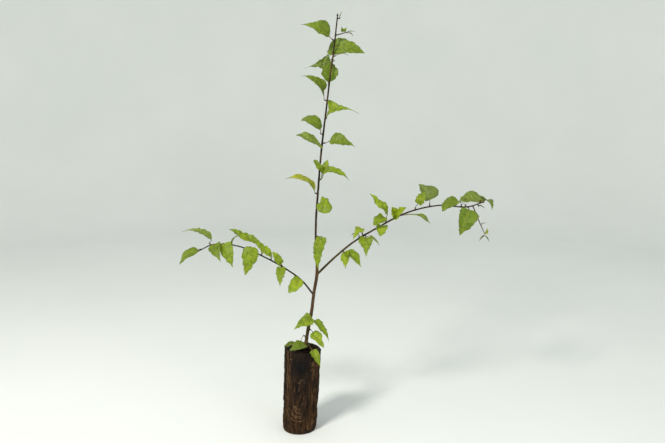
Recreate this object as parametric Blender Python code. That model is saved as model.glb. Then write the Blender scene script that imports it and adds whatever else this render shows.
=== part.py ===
"""Cherry plum plug plant: a rooted young shrub standing on its bare root ball.

A round column of peat and roots carries one thin main stem. The stem forks low
down into a bough on each side and runs on as a leader. Leaves hang singly or in
pairs round the limbs, each growing from a short spur by its own stalk. Sizes are
in millimetres in the tables below and are turned into metres as they are used.
The origin is the centre of the ball's flat underside, +Z is up, and the two
boughs reach out along -X and +X.
"""

import math
import random
from collections import namedtuple

import bmesh
import bpy
import numpy as np

MM = 0.001
GAP = 0.3              # clear space between pieces that touch on the real plant
SEED = 41              # makes the ripple of the leaf edges the same on each run
SHARP_FROM = 50        # degrees: a fold steeper than this keeps a crisp edge

# ---------------------------------------------------------------- root ball
BALL_HEIGHT = 125.0
BALL_FOOT_RADIUS = 24.7
BALL_TOP_RADIUS = 26.4
BALL_TOP_SHIFT = 6.0   # how far the ball leans towards +X from foot to top
BALL_EDGE = 1.6        # worn edge round the underside and the top
BALL_LUMP = 0.7        # how far the side swells in and out
BALL_RIM_DROP = 2.0    # the top slopes down towards +X by this much at its rim
BALL_SIDES = 32
BALL_SEAT_RADIUS = 7.0 # flat middle of the top that the stem stands on

# ---------------------------------------------------------------- limbs
# Each knot is x, y, z and the limb's radius there.
MAIN_STEM = (
    (10.0, 0.0, 125.3, 3.9),
    (10.9, 0.0, 133.0, 2.8),
    (14.0, -0.5, 153.5, 2.5),
    (19.4, -1.0, 182.5, 2.4),
    (22.6, -1.0, 208.0, 2.3),
    (27.2, 0.0, 237.0, 2.3),
    (25.6, 1.0, 277.0, 1.6),
    (26.1, 1.0, 315.0, 1.5),
    (28.8, 0.0, 352.0, 1.45),
    (34.1, -1.0, 414.0, 1.35),
    (41.2, -1.0, 472.0, 1.2),
    (47.2, 0.0, 521.0, 1.1),
    (51.6, 0.0, 552.0, 1.0),
    (56.2, 1.0, 594.0, 0.85),
)
LEFT_BOUGH = (
    (21.8, 0.0, 205.5, 1.35),
    (5.2, -2.0, 227.0, 1.2),
    (-19.9, -5.0, 246.5, 1.1),
    (-54.9, -9.0, 266.8, 1.0),
    (-81.4, -11.0, 278.6, 0.95),
    (-107.3, -12.0, 282.4, 0.9),
    (-120.7, -12.5, 281.5, 0.85),
    (-138.2, -13.0, 273.5, 0.7),
)
RIGHT_BOUGH = (
    (27.2, 0.0, 235.5, 1.75),
    (53.2, 3.0, 260.3, 1.45),
    (80.7, 6.0, 282.5, 1.35),
    (112.7, 9.0, 301.3, 1.25),
    (153.3, 12.0, 322.4, 1.15),
    (203.6, 14.0, 334.1, 1.0),
    (248.0, 15.0, 332.5, 0.9),
    (264.7, 15.0, 338.0, 0.75),
)
ROUTE_STEPS = 24       # curve points between two knots
STEM_RINGS = 28
BOUGH_RINGS = 24
STEM_SIDES = 8
BOUGH_SIDES = 6
BUD_RADIUS = 1.3       # swollen bud that closes each limb
BUD_LENGTH = 4.4
TWIG_BOW = 0.25        # how far a twig bows off its straight line, of its length

# ---------------------------------------------------------------- leaves
SPUR_LENGTH = 3.2      # short spur that carries the leaves of one node
SPUR_RADIUS = 1.0
STALK_RADIUS = 0.5
STALK_SET_BACK = 1.5   # on a twig, a stalk leaves at least this far short of the end
RIM_THICKNESS = 0.42   # leaf edge
RIB_THICKNESS = 0.95   # leaf at its midrib
BASE_SHAPE = 0.40      # lower is a broader leaf base
TIP_SHAPE = 1.35       # higher is a longer drawn-out tip
CALM_WIDTH = 6.0       # a blade with narrower halves ripples less
BASE_LOBE = 0.09       # how far the two base lobes reach back, of the length
RIPPLE = 0.9           # height of the waves along a leaf's edges
WAVES = 1.6            # how many of them from foot to tip
BLADE_STEPS = (0.0, 0.06, 0.17, 0.33, 0.55, 0.78, 1.0)

# petiole: from the limb's axis to the foot of the blade. midrib: from there to
# the leaf's tip. face: roughly where the upper side looks. width: the widest
# place. arch: how high the midrib bows above a straight line. fold: how many
# degrees the two halves are folded up about the midrib. form: the shape of its
# base, lower is broader, and of its tip, higher is longer drawn out. wave: how
# strongly its edges ripple. lean: the share by which its right half is wider.
# sway: how far its middle bows to the right.
Leaf = namedtuple("Leaf", "petiole midrib face width arch fold form wave lean sway",
                  defaults=((BASE_SHAPE, TIP_SHAPE), 1.0, 0.0, 0.0))
# at: height on the main stem, or reach along X on a bough. twig: from the limb's
# axis to the end of the twig that carries the leaves, or None for a short spur.
Spray = namedtuple("Spray", "at leaves twig", defaults=(None,))

FOOT_SPRAYS = (
    Spray(175, (Leaf((1, -6, -2), (-26, -9, -16), (-3, -8, 5), 20, 3, 12,
                     form=(0.4, 1.6), lean=-0.1),)),
    Spray(168, (Leaf((7, -5, 0), (21, -3, -31), (4, -6, 5), 12, 3, 15,
                     form=(0.5, 1.5), sway=-1.5),)),
    Spray(154, (Leaf((7, -7, -3), (16, -5, -22), (2, -8, 4), 15, 3, 12, form=(0.4, 1.1)),)),
    Spray(142, (Leaf((-14, 3, -13), (-20, -4, -2), (-1, -3, 8), 11, 2, 10, form=(0.5, 0.8)),)),
    Spray(140, (Leaf((-2, -12, -6), (-21, -16, -4), (-2, -6, 8), 18, 4, 14,
                     form=(0.45, 1.0), lean=-0.15),)),
    Spray(133, (Leaf((10, -22, -4), (11, -13, -20), (3, -7, 4), 13, 3, 14, form=(0.35, 1.2)),)),
)
LEADER_SPRAYS = (
    Spray(291, (Leaf((9, -6, 0), (-5, -6, -47), (-2, -9, 1), 18, 2, 18,
                     form=(0.3, 1.2), lean=-0.1, sway=3.5),)),
    Spray(335, (Leaf((5, -6, 6), (15, -20, -9), (-4, -7, 3), 22, 3, 12,
                     form=(0.4, 0.45), wave=1.8),)),
    Spray(353, (Leaf((-5, -2, 5), (-41, -5, 16), (2, -4, 9), 18, 11, 12,
                     form=(0.7, 1.5), wave=1.4),)),
    Spray(373, (
        Leaf((6, -6, 9), (-13, -6, 19), (3, -7, 4), 9, 2, 12, form=(0.9, 0.7)),
        Leaf((5, -6, 9), (38, -6, -10), (0, -5, 8), 17, 10, 16, form=(0.5, 1.5), wave=1.6),
        Leaf((6, -5, 9), (7, 2, 19), (-3, -8, 2), 10, 1, 10, form=(0.4, 0.8)),
    )),
    Spray(415, (Leaf((1, -6, 1), (-36, -6, 19), (1, -5, 8), 19, 4, 18,
                     form=(1.2, 1.0), wave=1.4, lean=0.1),)),
    Spray(424, (Leaf((11, -3, 3), (35, -7, -8), (0, -8, 6), 21, 6, 12,
                     form=(0.6, 1.7), wave=1.4, lean=-0.1),)),
    Spray(436, (Leaf((-4, 2, 7), (-27, 10, 12), (-1, -6, 9), 20, 9, 10, form=(0.45, 0.6)),)),
    Spray(458, (Leaf((5, -6, 10), (42, -4, -4), (0, -8, 6), 27, 9, 14,
                     form=(0.17, 3.0), wave=1.5),)),
    Spray(482, (Leaf((-5, -2, 13), (-31, -7, 20), (5, -7, 8), 29, 8, 15,
                     form=(0.35, 1.8), lean=-0.3),)),
    Spray(503, (Leaf((-1, 5, 4), (4, 2, 29), (1, -9, 1), 24, 1, 8, form=(1.3, 1.5), wave=1.3),)),
    Spray(537, (Leaf((-3, 14, 1), (-36, 1, -11), (-1, -9, 1), 26, 0, 8,
                     form=(0.2, 2.6), wave=1.6, lean=-0.35),)),
    Spray(542, (Leaf((8, -6, 2), (13, -2, -2), (0, -3, 9), 3, 2, 5),)),
    Spray(546, (Leaf((-7, 15, 5), (50, -12, -5), (0, -9, 5), 26, 10, 3,
                     form=(0.4, 0.95), lean=-0.1),)),
    Spray(563, (Leaf((-8, -2, 5), (-38, -5, 15), (0, -7, 6), 25, 5, 16,
                     form=(0.9, 2.1), lean=0.25),)),
    Spray(570, (
        Leaf((14, -3, 3), (13, -2, 1), (0, -2, 9), 3, 1, 5),
        Leaf((15, -4, 2), (9, -7, -5), (2, -3, 8), 4, 2, 5),
        Leaf((10, -3, 4), (-2, -4, 6), (0, -9, 2), 5, 1, 5),
        Leaf((12, -3, 4), (3, 4, 6), (0, -9, 2), 4, 1, 5),
    ), (14, -3, 3)),
    Spray(592, (Leaf((3, 0, 2), (4, 0, 7), (0, -9, 2), 1.4, 1, 0),)),
)
LEFT_SPRAYS = (
    Spray(0, (Leaf((3, -5, -1), (-15, -19, -16), (4, -6, 7), 18, 4, 12, form=(0.5, 0.75)),)),
    Spray(-21, (Leaf((-2, -5, 1), (-1, -18, -24), (-1, -6, 5), 15, 3, 12),)),
    Spray(-24, (Leaf((0, -3, 3), (-11, -9, 20), (4, -8, 4), 12, 2, 10, form=(0.5, 0.8)),)),
    Spray(-39, (Leaf((2, -4, 7), (-22, -10, 21), (6, -6, 7), 15, 0, 12, form=(0.6, 0.8)),)),
    Spray(-52, (Leaf((3, -2, 15), (-48, 3, 23), (3, -6, 8), 14, 0, 16,
                     form=(1.1, 1.1), wave=1.7),)),
    Spray(-66, (Leaf((-1, -6, 7), (-7, -4, -41), (-2, -9, 1), 25, 2, 14,
                     form=(0.3, 1.1), wave=1.5, lean=-0.35),)),
    Spray(-93, (Leaf((0, 0, 3), (18, 8, 9), (-5, -1, 7), 8, 5, 8),)),
    Spray(-105, (Leaf((2, -5, 2), (14, -14, -32), (1, -8, 3), 20, 4, 12),)),
    Spray(-118, (Leaf((2, -5, 1), (12, -24, -20), (-2, -6, 5), 19, 4, 12),)),
    Spray(-123, (Leaf((1, 1, 8), (-41, 1, 11), (3, -4, 8), 14, 9, 15, form=(0.7, 2.1)),)),
    Spray(-136, (Leaf((-4, -5, 1), (-24, -11, -19), (-5, -6, 6), 20, 4, 12,
                      form=(0.5, 1.1), lean=-0.1),)),
)
RIGHT_SPRAYS = (
    Spray(64, (
        Leaf((3, -5, -1), (0, -20, -20), (-7, -5, 3), 20, -2, 15, sway=-2.0),
        Leaf((5, -5, -1), (21, -19, -18), (5, -7, 6), 21, 4, 14),
    )),
    Spray(96, (
        Leaf((1, -5, -3), (0, -22, -24), (0, -7, 5), 19, 3, 12, wave=1.4),
        Leaf((8, -2, -1), (13, -11, -12), (5, -3, 7), 7, 1, 10),
    )),
    Spray(94, (Leaf((-2, 1, 10), (-13, -12, -14), (-5, -8, 3), 13, 4, 14),)),
    Spray(89, (Leaf((-2, 5, 4), (-10, 9, -3), (-3, -2, 8), 7, 2, 10),)),
    Spray(119, (Leaf((4, -5, 1), (-6, -22, -11), (-1, -5, 7), 16, 4, 12,
                     form=(0.4, 0.6), wave=1.3),)),
    Spray(127, (
        Leaf((1, -2, 14), (-26, -5, 29), (6, -6, 4), 15, 3, 18,
             form=(0.6, 1.1), wave=2.2, sway=-1.5),
        Leaf((-4, -5, 9), (-16, -18, -9), (2, -5, 7), 16, 3, 12, form=(0.4, 0.7)),
    )),
    Spray(133, (
        Leaf((7, -4, 4), (13, -20, 18), (-4, -6, 4), 14, 3, 14, form=(0.5, 0.8)),
        Leaf((7, -4, 4), (-6, -8, 17), (3, -8, 3), 12, 2, 12, form=(0.5, 0.7)),
    )),
    Spray(149, (Leaf((4, -8, 1), (36, -4, -12), (0, -2, 9), 13, 6, 14, form=(2.6, 1.0)),)),
    Spray(169, (Leaf((3, -5, 10), (10, -3, 17), (-2, -9, 3), 14, 2, 12, form=(0.4, 0.8)),)),
    Spray(190, (Leaf((0, 5, 9), (-14, 20, 21), (1, -9, 5), 27, 5, 12,
                     form=(0.35, 1.3), wave=1.5, lean=0.25),)),
    Spray(235, (Leaf((-5, -3, 9), (-25, -14, -13), (-3, -7, 6), 19, 5, 12,
                     form=(0.5, 0.8), wave=1.4, lean=0.1),)),
    Spray(242, (Leaf((-7, 7, 9), (41, 16, -1), (0, -7, 7), 22, 4, 12, form=(0.9, 0.9), wave=2.0),)),
    Spray(245, (Leaf((0, -6, -3), (-13, -5, -37), (0, -9, 2), 28, 2, 12,
                     form=(0.35, 1.1), lean=-0.15),)),
    Spray(259, (Leaf((2, 0, -2), (8, -3, -4), (2, -3, 8), 4, 1, 5),)),
    Spray(263, (Leaf((4, 0, 4), (7, -25, -11), (4, -4, 8), 16, 6, 14),)),
)
HANGING_SPRAYS = (
    Spray(252, (
        Leaf((18, -5, -43), (6, -3, -9), (5, -4, 5), 3, 1, 5),
        Leaf((17, -4, -43), (-6, 4, -9), (-5, -4, 5), 3, 1, 5),
        Leaf((18, -6, -40), (2, -4, 9), (4, -8, 2), 7, 1, 10),
        Leaf((12, -4, -27), (7, -3, 3), (0, -2, 9), 2, 1, 0),
    ), (18, -4, -41)),
)

# ---------------------------------------------------------------- colours
PEAT_BROWN = (0.045, 0.028, 0.016)
BARK_BROWN = (0.13, 0.075, 0.045)
TWIG_BROWN = (0.16, 0.075, 0.06)
LEAF_GREEN = (0.28, 0.37, 0.045)


def material(name, colour, roughness):
    """A Principled material of one plain colour."""
    surface = bpy.data.materials.new(name)
    surface.use_nodes = True
    shader = surface.node_tree.nodes["Principled BSDF"]
    shader.inputs["Base Color"].default_value = (*colour, 1.0)
    shader.inputs["Roughness"].default_value = roughness
    surface.diffuse_color = (*colour, 1.0)
    return surface


def unit(vector):
    """The vector cut to length 1."""
    return vector / np.linalg.norm(vector)


def loft(name, rings, surface):
    """A closed solid skinned over a row of rings of the same number of points."""
    mesh = bpy.data.meshes.new(name)
    shape = bmesh.new()
    loops = [[shape.verts.new(point * MM) for point in ring] for ring in rings]
    for lower, upper in zip(loops, loops[1:]):
        for side in range(len(lower)):
            following = (side + 1) % len(lower)
            shape.faces.new((lower[side], lower[following], upper[following], upper[side]))
    shape.faces.new(loops[0][::-1])
    shape.faces.new(loops[-1])
    bmesh.ops.triangulate(shape, faces=shape.faces[:])
    if shape.calc_volume(signed=True) < 0.0:
        bmesh.ops.reverse_faces(shape, faces=shape.faces[:])
    shape.to_mesh(mesh)
    shape.free()
    mesh.materials.append(surface)
    solid = bpy.data.objects.new(name, mesh)
    bpy.context.scene.collection.objects.link(solid)
    return solid


def shade_round(solid):
    """Smooth shading with the worn edges kept sharp."""
    solid.data.shade_smooth()
    solid.data.set_sharp_from_angle(angle=math.radians(SHARP_FROM))


# ---------------------------------------------------------------- limbs
def smooth_route(knots):
    """A dense curve through the knots, each row x, y, z, radius and length so far.

    Between two knots it is a cubic whose slope at a knot is the slope from the
    knot before to the knot after.
    """
    knots = np.array(knots, float)
    spans = np.linalg.norm(np.diff(knots[:, :3], axis=0), axis=1)
    stations = np.concatenate(([0.0], np.cumsum(spans)))
    slopes = np.gradient(knots, stations, axis=0)
    rows = []
    for index, span in enumerate(spans):
        share = np.linspace(0.0, 1.0, ROUTE_STEPS, endpoint=False)[:, None]
        square, cube = share ** 2, share ** 3
        rows.append(
            (2 * cube - 3 * square + 1) * knots[index]
            + (cube - 2 * square + share) * span * slopes[index]
            + (3 * square - 2 * cube) * knots[index + 1]
            + (cube - square) * span * slopes[index + 1]
        )
    rows.append(knots[-1:])
    route = np.concatenate(rows)
    steps = np.linalg.norm(np.diff(route[:, :3], axis=0), axis=1)
    return np.column_stack((route, np.concatenate(([0.0], np.cumsum(steps)))))


def station_on(route, lengths):
    """Places, directions and radii at the given lengths along a route."""
    columns = [np.interp(lengths, route[:, 4], route[:, axis]) for axis in range(4)]
    ahead = [np.interp(lengths + 1.0, route[:, 4], route[:, axis]) for axis in range(3)]
    behind = [np.interp(lengths - 1.0, route[:, 4], route[:, axis]) for axis in range(3)]
    directions = np.column_stack(ahead) - np.column_stack(behind)
    directions /= np.linalg.norm(directions, axis=1)[:, None]
    return np.column_stack(columns[:3]), directions, columns[3]


def round_ring(centre, direction, radius, sides):
    """Points of a circle square to the direction, the first one towards -Y."""
    across = unit(np.cross(direction, (0.0, 1.0, 0.0)))
    front = unit(np.cross(direction, across))
    turn = np.arange(sides) * 2 * math.pi / sides
    return centre + radius * (np.outer(np.cos(turn), front) + np.outer(np.sin(turn), across))


def bud_rings(centre, direction, radius, sides):
    """The swollen bud that closes a limb's tip."""
    rings = []
    for share, swell in ((0.25, 1.0), (0.55, 0.85), (0.85, 0.45), (1.0, 0.12)):
        width = max(BUD_RADIUS, radius) * swell
        rings.append(round_ring(centre + direction * BUD_LENGTH * share, direction, width, sides))
    return rings


def limb_rings(route, start, count, sides):
    """Evenly spaced rings of a limb from a length along it to its bud."""
    places, directions, radii = station_on(route, np.linspace(start, route[-1, 4], count))
    rings = [round_ring(*row, sides) for row in zip(places, directions, radii)]
    return rings + bud_rings(places[-1], directions[-1], radii[-1], sides)


def saddle_ring(route, parent, sides):
    """A bough's foot: its circle slid outwards on to the parent limb, GAP clear of it."""
    places, directions, radii = station_on(route, np.array([0.0]))
    nearest = np.argmin(np.linalg.norm(parent[:, :3] - places[0], axis=1))
    _, axes, parent_radii = station_on(parent, parent[nearest:nearest + 1, 4])
    axis = axes[0]
    reach = parent_radii[0] + GAP
    ring = round_ring(places[0], directions[0], radii[0], sides)
    offset = ring - parent[nearest, :3]
    offset = offset - np.outer(offset @ axis, axis)
    slide = directions[0] - directions[0] @ axis * axis
    mixed = offset @ slide
    square = slide @ slide
    travel = np.sqrt(mixed ** 2 - square * ((offset ** 2).sum(axis=1) - reach ** 2)) - mixed
    return ring + np.outer(travel / square, directions[0])


def build_main_stem(surface):
    """The stem from its flat cut on the ball, with a flared foot, to its top bud."""
    route = smooth_route(MAIN_STEM)
    rings = limb_rings(route, 0.0, STEM_RINGS, STEM_SIDES)
    flare_places, flare_directions, flare_radii = station_on(route, np.array([0.0, 2.5, 6.0]))
    flare = [round_ring(*row, STEM_SIDES)
             for row in zip(flare_places, flare_directions, flare_radii)]
    flare[0][:, 2] = MAIN_STEM[0][2]
    stem = loft("main_stem", flare + rings[1:], surface)
    shade_round(stem)
    return route


def build_bough(name, knots, parent, surface):
    """A tapering bough whose foot fits round the main stem."""
    route = smooth_route(knots)
    first = MAIN_STEM[4][3] + 3.0 * knots[0][3]
    rings = [saddle_ring(route, parent, BOUGH_SIDES)]
    rings += limb_rings(route, first, BOUGH_RINGS, BOUGH_SIDES)
    shade_round(loft(name, rings, surface))
    return route


# ---------------------------------------------------------------- leaves
def blade_half_width(share, width, form):
    """Half the leaf's width at a share of its length."""
    base, tip = form
    widest = base / (base + tip)
    swell = (share / widest) ** base * ((1 - share) / (1 - widest)) ** tip
    return max(0.5 * width * swell, STALK_RADIUS * (1.0 - 0.6 * share))


def leaf_rings(leaf, root, start, start_direction, ripple):
    """Six-point rings of one leaf, from the start of its stalk to its tip.

    The stalk is a cubic that leaves along start_direction and turns into the
    blade. The midrib is a straight line bowed up by the arch and aside by the
    sway. Each half of the blade is folded about it, and its edge waves up and down.
    """
    foot = root + np.array(leaf.petiole, float)
    chord = np.array(leaf.midrib, float)
    along = unit(chord)
    upward = np.array(leaf.face, float)
    upward = unit(upward - upward @ along * along)
    side = np.cross(along, upward)
    blade_start = unit(chord + 4.0 * (leaf.arch * upward + leaf.sway * side))
    turn = np.radians([150, 90, 30, -30, -90, -150])
    rings = []
    span = np.linalg.norm(foot - start)
    for share in (0.0, 0.4, 0.8):
        centre = (
            (2 * share ** 3 - 3 * share ** 2 + 1) * start
            + (share ** 3 - 2 * share ** 2 + share) * span * start_direction
            + (3 * share ** 2 - 2 * share ** 3) * foot
            + (share ** 3 - share ** 2) * span * blade_start
        )
        heading = unit((1 - share) * start_direction + share * blade_start)
        lean = unit(upward - upward @ heading * heading)
        across = np.cross(heading, lean)
        rings.append(centre + STALK_RADIUS
                     * (np.outer(np.cos(turn), across) + np.outer(np.sin(turn), lean)))
    fold = math.radians(leaf.fold)
    length = np.linalg.norm(chord)
    for share in BLADE_STEPS:
        half_width = blade_half_width(share, leaf.width, leaf.form)
        bow = 4.0 * share * (1.0 - share)
        rise = unit(upward - 4.0 * leaf.arch * (1.0 - 2.0 * share) / length * along)
        centre = foot + chord * share + (upward * leaf.arch + side * leaf.sway) * bow
        back = along * length * BASE_LOBE * math.sin(math.pi * share) ** 0.5 * (1 - share) ** 4
        rim = RIM_THICKNESS * (1.0 - 0.5 * share) * 0.5
        rib = RIB_THICKNESS * (1.0 - 0.6 * share) * 0.5
        edges = []
        for hand, phase in ((-1.0, ripple[0]), (1.0, ripple[1])):
            half = half_width * (1.0 + leaf.lean * hand)
            wave = (leaf.wave * RIPPLE * math.sin(2 * math.pi * (WAVES * share + phase))
                    * min(1.0, half / CALM_WIDTH))
            edges.append(centre + hand * side * half * math.cos(fold)
                         + rise * (half * math.sin(fold) + wave) - back)
        left, right = edges
        rings.append(np.array((
            left + rise * rim, centre + rise * rib, right + rise * rim,
            right - rise * rim, centre - rise * rib, left - rise * rim,
        )))
    return rings


def twig_rings(spray, root, radial, limb_radius):
    """The stem of a spray: a short spur, or a longer bowed twig, off its limb."""
    start = root + radial * (limb_radius + GAP)
    if spray.twig is None:
        stations = ((0.0, 0.75), (0.3, 1.0), (0.7, 0.85), (1.0, 0.35))
        return [round_ring(start + radial * SPUR_LENGTH * share, radial, SPUR_RADIUS * width, 6)
                for share, width in stations]
    end = root + np.array(spray.twig, float)
    reach = np.linalg.norm(end - start)
    rings = []
    for share in np.linspace(0.0, 1.0, 7):
        centre = start + (end - start) * share + radial * reach * TWIG_BOW * share * (1 - share)
        heading = unit(end - start + radial * reach * TWIG_BOW * (1 - 2 * share))
        heading = radial if share == 0.0 else heading
        rings.append(round_ring(centre, heading, SPUR_RADIUS * (0.85 - 0.35 * share), 6))
    return rings


def clear_of_limbs(rings, routes):
    """True where no ring of a blade comes within GAP of a limb."""
    points = np.concatenate(rings)
    for route in routes:
        distances = np.linalg.norm(points[:, None, :] - route[None, ::4, :3], axis=2)
        if (distances - route[None, ::4, 3]).min() < GAP:
            return False
    return True


def join_pieces(name, pieces, surface):
    """One closed solid from the pieces of a spray, by one union."""
    if len(pieces) == 1:
        return pieces[0]
    base, others = pieces[0], pieces[1:]
    basket = bpy.data.collections.new(name + "_pieces")
    for piece in others:
        basket.objects.link(piece)
    union = base.modifiers.new("union", "BOOLEAN")
    union.operation = "UNION"
    union.operand_type = "COLLECTION"
    union.collection = basket
    for solver in ("EXACT", "MANIFOLD"):
        union.solver = solver
        bpy.context.view_layer.update()
        evaluated = base.evaluated_get(bpy.context.evaluated_depsgraph_get())
        joined = bpy.data.meshes.new_from_object(evaluated)
        if joined.polygons:
            break
    joined.name = name
    joined.materials.clear()
    joined.materials.append(surface)
    base.modifiers.clear()
    base.data = joined
    for piece in others:
        bpy.data.objects.remove(piece)
    bpy.data.collections.remove(basket)
    return base


def stalk_start(spray, root, foot):
    """Where on its twig a leaf's stalk starts: a little back from the blade's foot."""
    end = root + np.array(spray.twig, float)
    back = unit(root - end)
    return end + back * max(STALK_SET_BACK, (foot - end) @ back)


def build_spray(name, spray, route, axis, routes, chance, surface):
    """One mass: the leaves of one node, fused to the spur or twig that bears them."""
    order = np.argsort(route[:, axis])
    place = np.interp(spray.at, route[order, axis], route[order, 4])
    places, directions, radii = station_on(route, np.array([place]))
    root, direction, limb_radius = places[0], directions[0], radii[0]
    outward = np.array(spray.twig, float) if spray.twig else sum(
        unit(np.array(leaf.petiole, float)) for leaf in spray.leaves)
    radial = unit(outward - outward @ direction * direction)
    pieces = [loft(name, twig_rings(spray, root, radial, limb_radius), surface)]
    for number, leaf in enumerate(spray.leaves):
        ripple = (chance.random(), chance.random())
        sunk = (0.3 + 0.12 * number) * SPUR_LENGTH
        start, heading = root + radial * (limb_radius + GAP + sunk), radial
        if spray.twig:
            foot = root + np.array(leaf.petiole, float)
            start = stalk_start(spray, root, foot)
            heading = unit(foot - start + 0.01 * radial)
        rings = leaf_rings(leaf, root, start, heading, ripple)
        if clear_of_limbs(rings[3:], routes):
            pieces.append(loft(f"{name}_leaf_{number}", rings, surface))
    solid = join_pieces(name, pieces, surface)
    shade_round(solid)


# ---------------------------------------------------------------- root ball
def build_root_ball(surface):
    """The leaning column of peat, flat underneath and where the stem stands."""
    rows = (
        (0.0, -BALL_EDGE), (0.35, -0.35 * BALL_EDGE), (BALL_EDGE, 0.0),
        (18.0, 0.3), (36.0, -0.2), (54.0, 0.4), (72.0, 0.1), (90.0, -0.3), (108.0, 0.2),
        (BALL_HEIGHT - BALL_EDGE, 0.0), (BALL_HEIGHT - 0.3 * BALL_EDGE, -0.5 * BALL_EDGE),
        (BALL_HEIGHT, -2.0 * BALL_EDGE),
    )
    turn = np.arange(BALL_SIDES) * 2 * math.pi / BALL_SIDES
    rings = []
    for height, swell in rows:
        share = height / BALL_HEIGHT
        radius = BALL_FOOT_RADIUS + (BALL_TOP_RADIUS - BALL_FOOT_RADIUS) * share + swell
        middle = math.sin(math.pi * share) ** 0.5
        lumps = BALL_LUMP * middle * (np.sin(3 * turn + 4.0 * share)
                                      + 0.6 * np.sin(7 * turn - 5.0 * share)) / 1.6
        drop = BALL_RIM_DROP * np.cos(turn) * max(0.0, 5.0 * share - 4.0)
        x = BALL_TOP_SHIFT * share + (radius + lumps) * np.cos(turn)
        y = (radius + lumps) * np.sin(turn)
        rings.append(np.column_stack((x, y, height - drop)))
    centre = np.array((MAIN_STEM[0][0], 0.0, BALL_HEIGHT))
    seat = BALL_SEAT_RADIUS * np.column_stack((np.cos(turn), np.sin(turn), np.zeros(BALL_SIDES)))
    shade_round(loft("root_ball", rings + [centre + seat], surface))


def main():
    """Clear the scene and build the ball, the limbs and every spray."""
    for stray in list(bpy.data.objects):
        bpy.data.objects.remove(stray)
    chance = random.Random(SEED)
    bark = material("bark", BARK_BROWN, 0.7)
    twig = material("twig_bark", TWIG_BROWN, 0.6)
    green = material("leaf_green", LEAF_GREEN, 0.5)
    build_root_ball(material("peat_and_roots", PEAT_BROWN, 0.95))
    stem = build_main_stem(bark)
    left = build_bough("left_bough", LEFT_BOUGH, stem, twig)
    right = build_bough("right_bough", RIGHT_BOUGH, stem, twig)
    routes = (stem, left, right)
    groups = (
        ("foot_spray", FOOT_SPRAYS, stem, 2),
        ("leader_spray", LEADER_SPRAYS, stem, 2),
        ("left_spray", LEFT_SPRAYS, left, 0),
        ("right_spray", RIGHT_SPRAYS, right, 0),
        ("hanging_twig", HANGING_SPRAYS, right, 0),
    )
    for title, sprays, route, axis in groups:
        for number, spray in enumerate(sprays, 1):
            name = f"{title}_{number:02d}"
            build_spray(name, spray, route, axis, routes, chance, green)


main()
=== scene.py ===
"""Looks of a cherry plum plug plant: its bark, leaves, peat and roots, in a pale studio.

The plant grows by the same rule as its solids: smooth limbs through named knots,
and at each node a short spur with leaves on their own stalks. Here every leaf is
a thin toothed blade with sunken veins, the limbs have bark, nodes and buds, and
the root ball is crumbly peat held by a net of fine roots. Tables are in
millimetres and are turned into metres as a mesh is made.
"""

import math
import random
from collections import namedtuple

import bpy
import numpy as np
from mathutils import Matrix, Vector


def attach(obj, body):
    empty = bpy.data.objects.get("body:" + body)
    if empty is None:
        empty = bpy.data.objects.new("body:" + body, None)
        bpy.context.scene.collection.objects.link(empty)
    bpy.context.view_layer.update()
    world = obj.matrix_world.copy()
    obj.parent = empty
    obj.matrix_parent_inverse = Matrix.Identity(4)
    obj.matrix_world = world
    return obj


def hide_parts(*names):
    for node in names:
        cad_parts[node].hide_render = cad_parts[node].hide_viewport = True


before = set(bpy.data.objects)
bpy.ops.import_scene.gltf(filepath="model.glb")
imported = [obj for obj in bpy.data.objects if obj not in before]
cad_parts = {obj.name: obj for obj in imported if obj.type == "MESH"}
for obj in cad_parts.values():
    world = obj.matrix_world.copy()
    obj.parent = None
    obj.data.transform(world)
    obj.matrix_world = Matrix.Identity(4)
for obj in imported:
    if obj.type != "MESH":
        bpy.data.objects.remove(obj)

MM = 0.001
FULL_TURN = 2.0 * math.pi
SEED = 41
PLANT = "root"         # the one body that every piece rides on

# ---------------------------------------------------------------- root ball
BALL_HEIGHT = 125.0
BALL_FOOT_RADIUS = 24.7
BALL_TOP_RADIUS = 26.4
BALL_TOP_SHIFT = 6.0
BALL_EDGE = 1.6
BALL_LUMP = 0.7
BALL_RIM_DROP = 2.0
ROOT_STRETCH = (1.0, 1.0, 0.22)    # matted roots draw their lumps out upwards
BALL_SIDES = 300
BALL_ROWS = 200
TOP_ROWS = 40
# height, and how far the side swells out there
BALL_SWELL = (
    (0.0, -BALL_EDGE), (0.35, -0.35 * BALL_EDGE), (BALL_EDGE, 0.0),
    (18.0, 0.3), (36.0, -0.2), (54.0, 0.4), (72.0, 0.1), (90.0, -0.3), (108.0, 0.2),
    (BALL_HEIGHT - BALL_EDGE, 0.0), (BALL_HEIGHT - 0.3 * BALL_EDGE, -0.5 * BALL_EDGE),
    (BALL_HEIGHT, -2.0 * BALL_EDGE),
)

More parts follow.
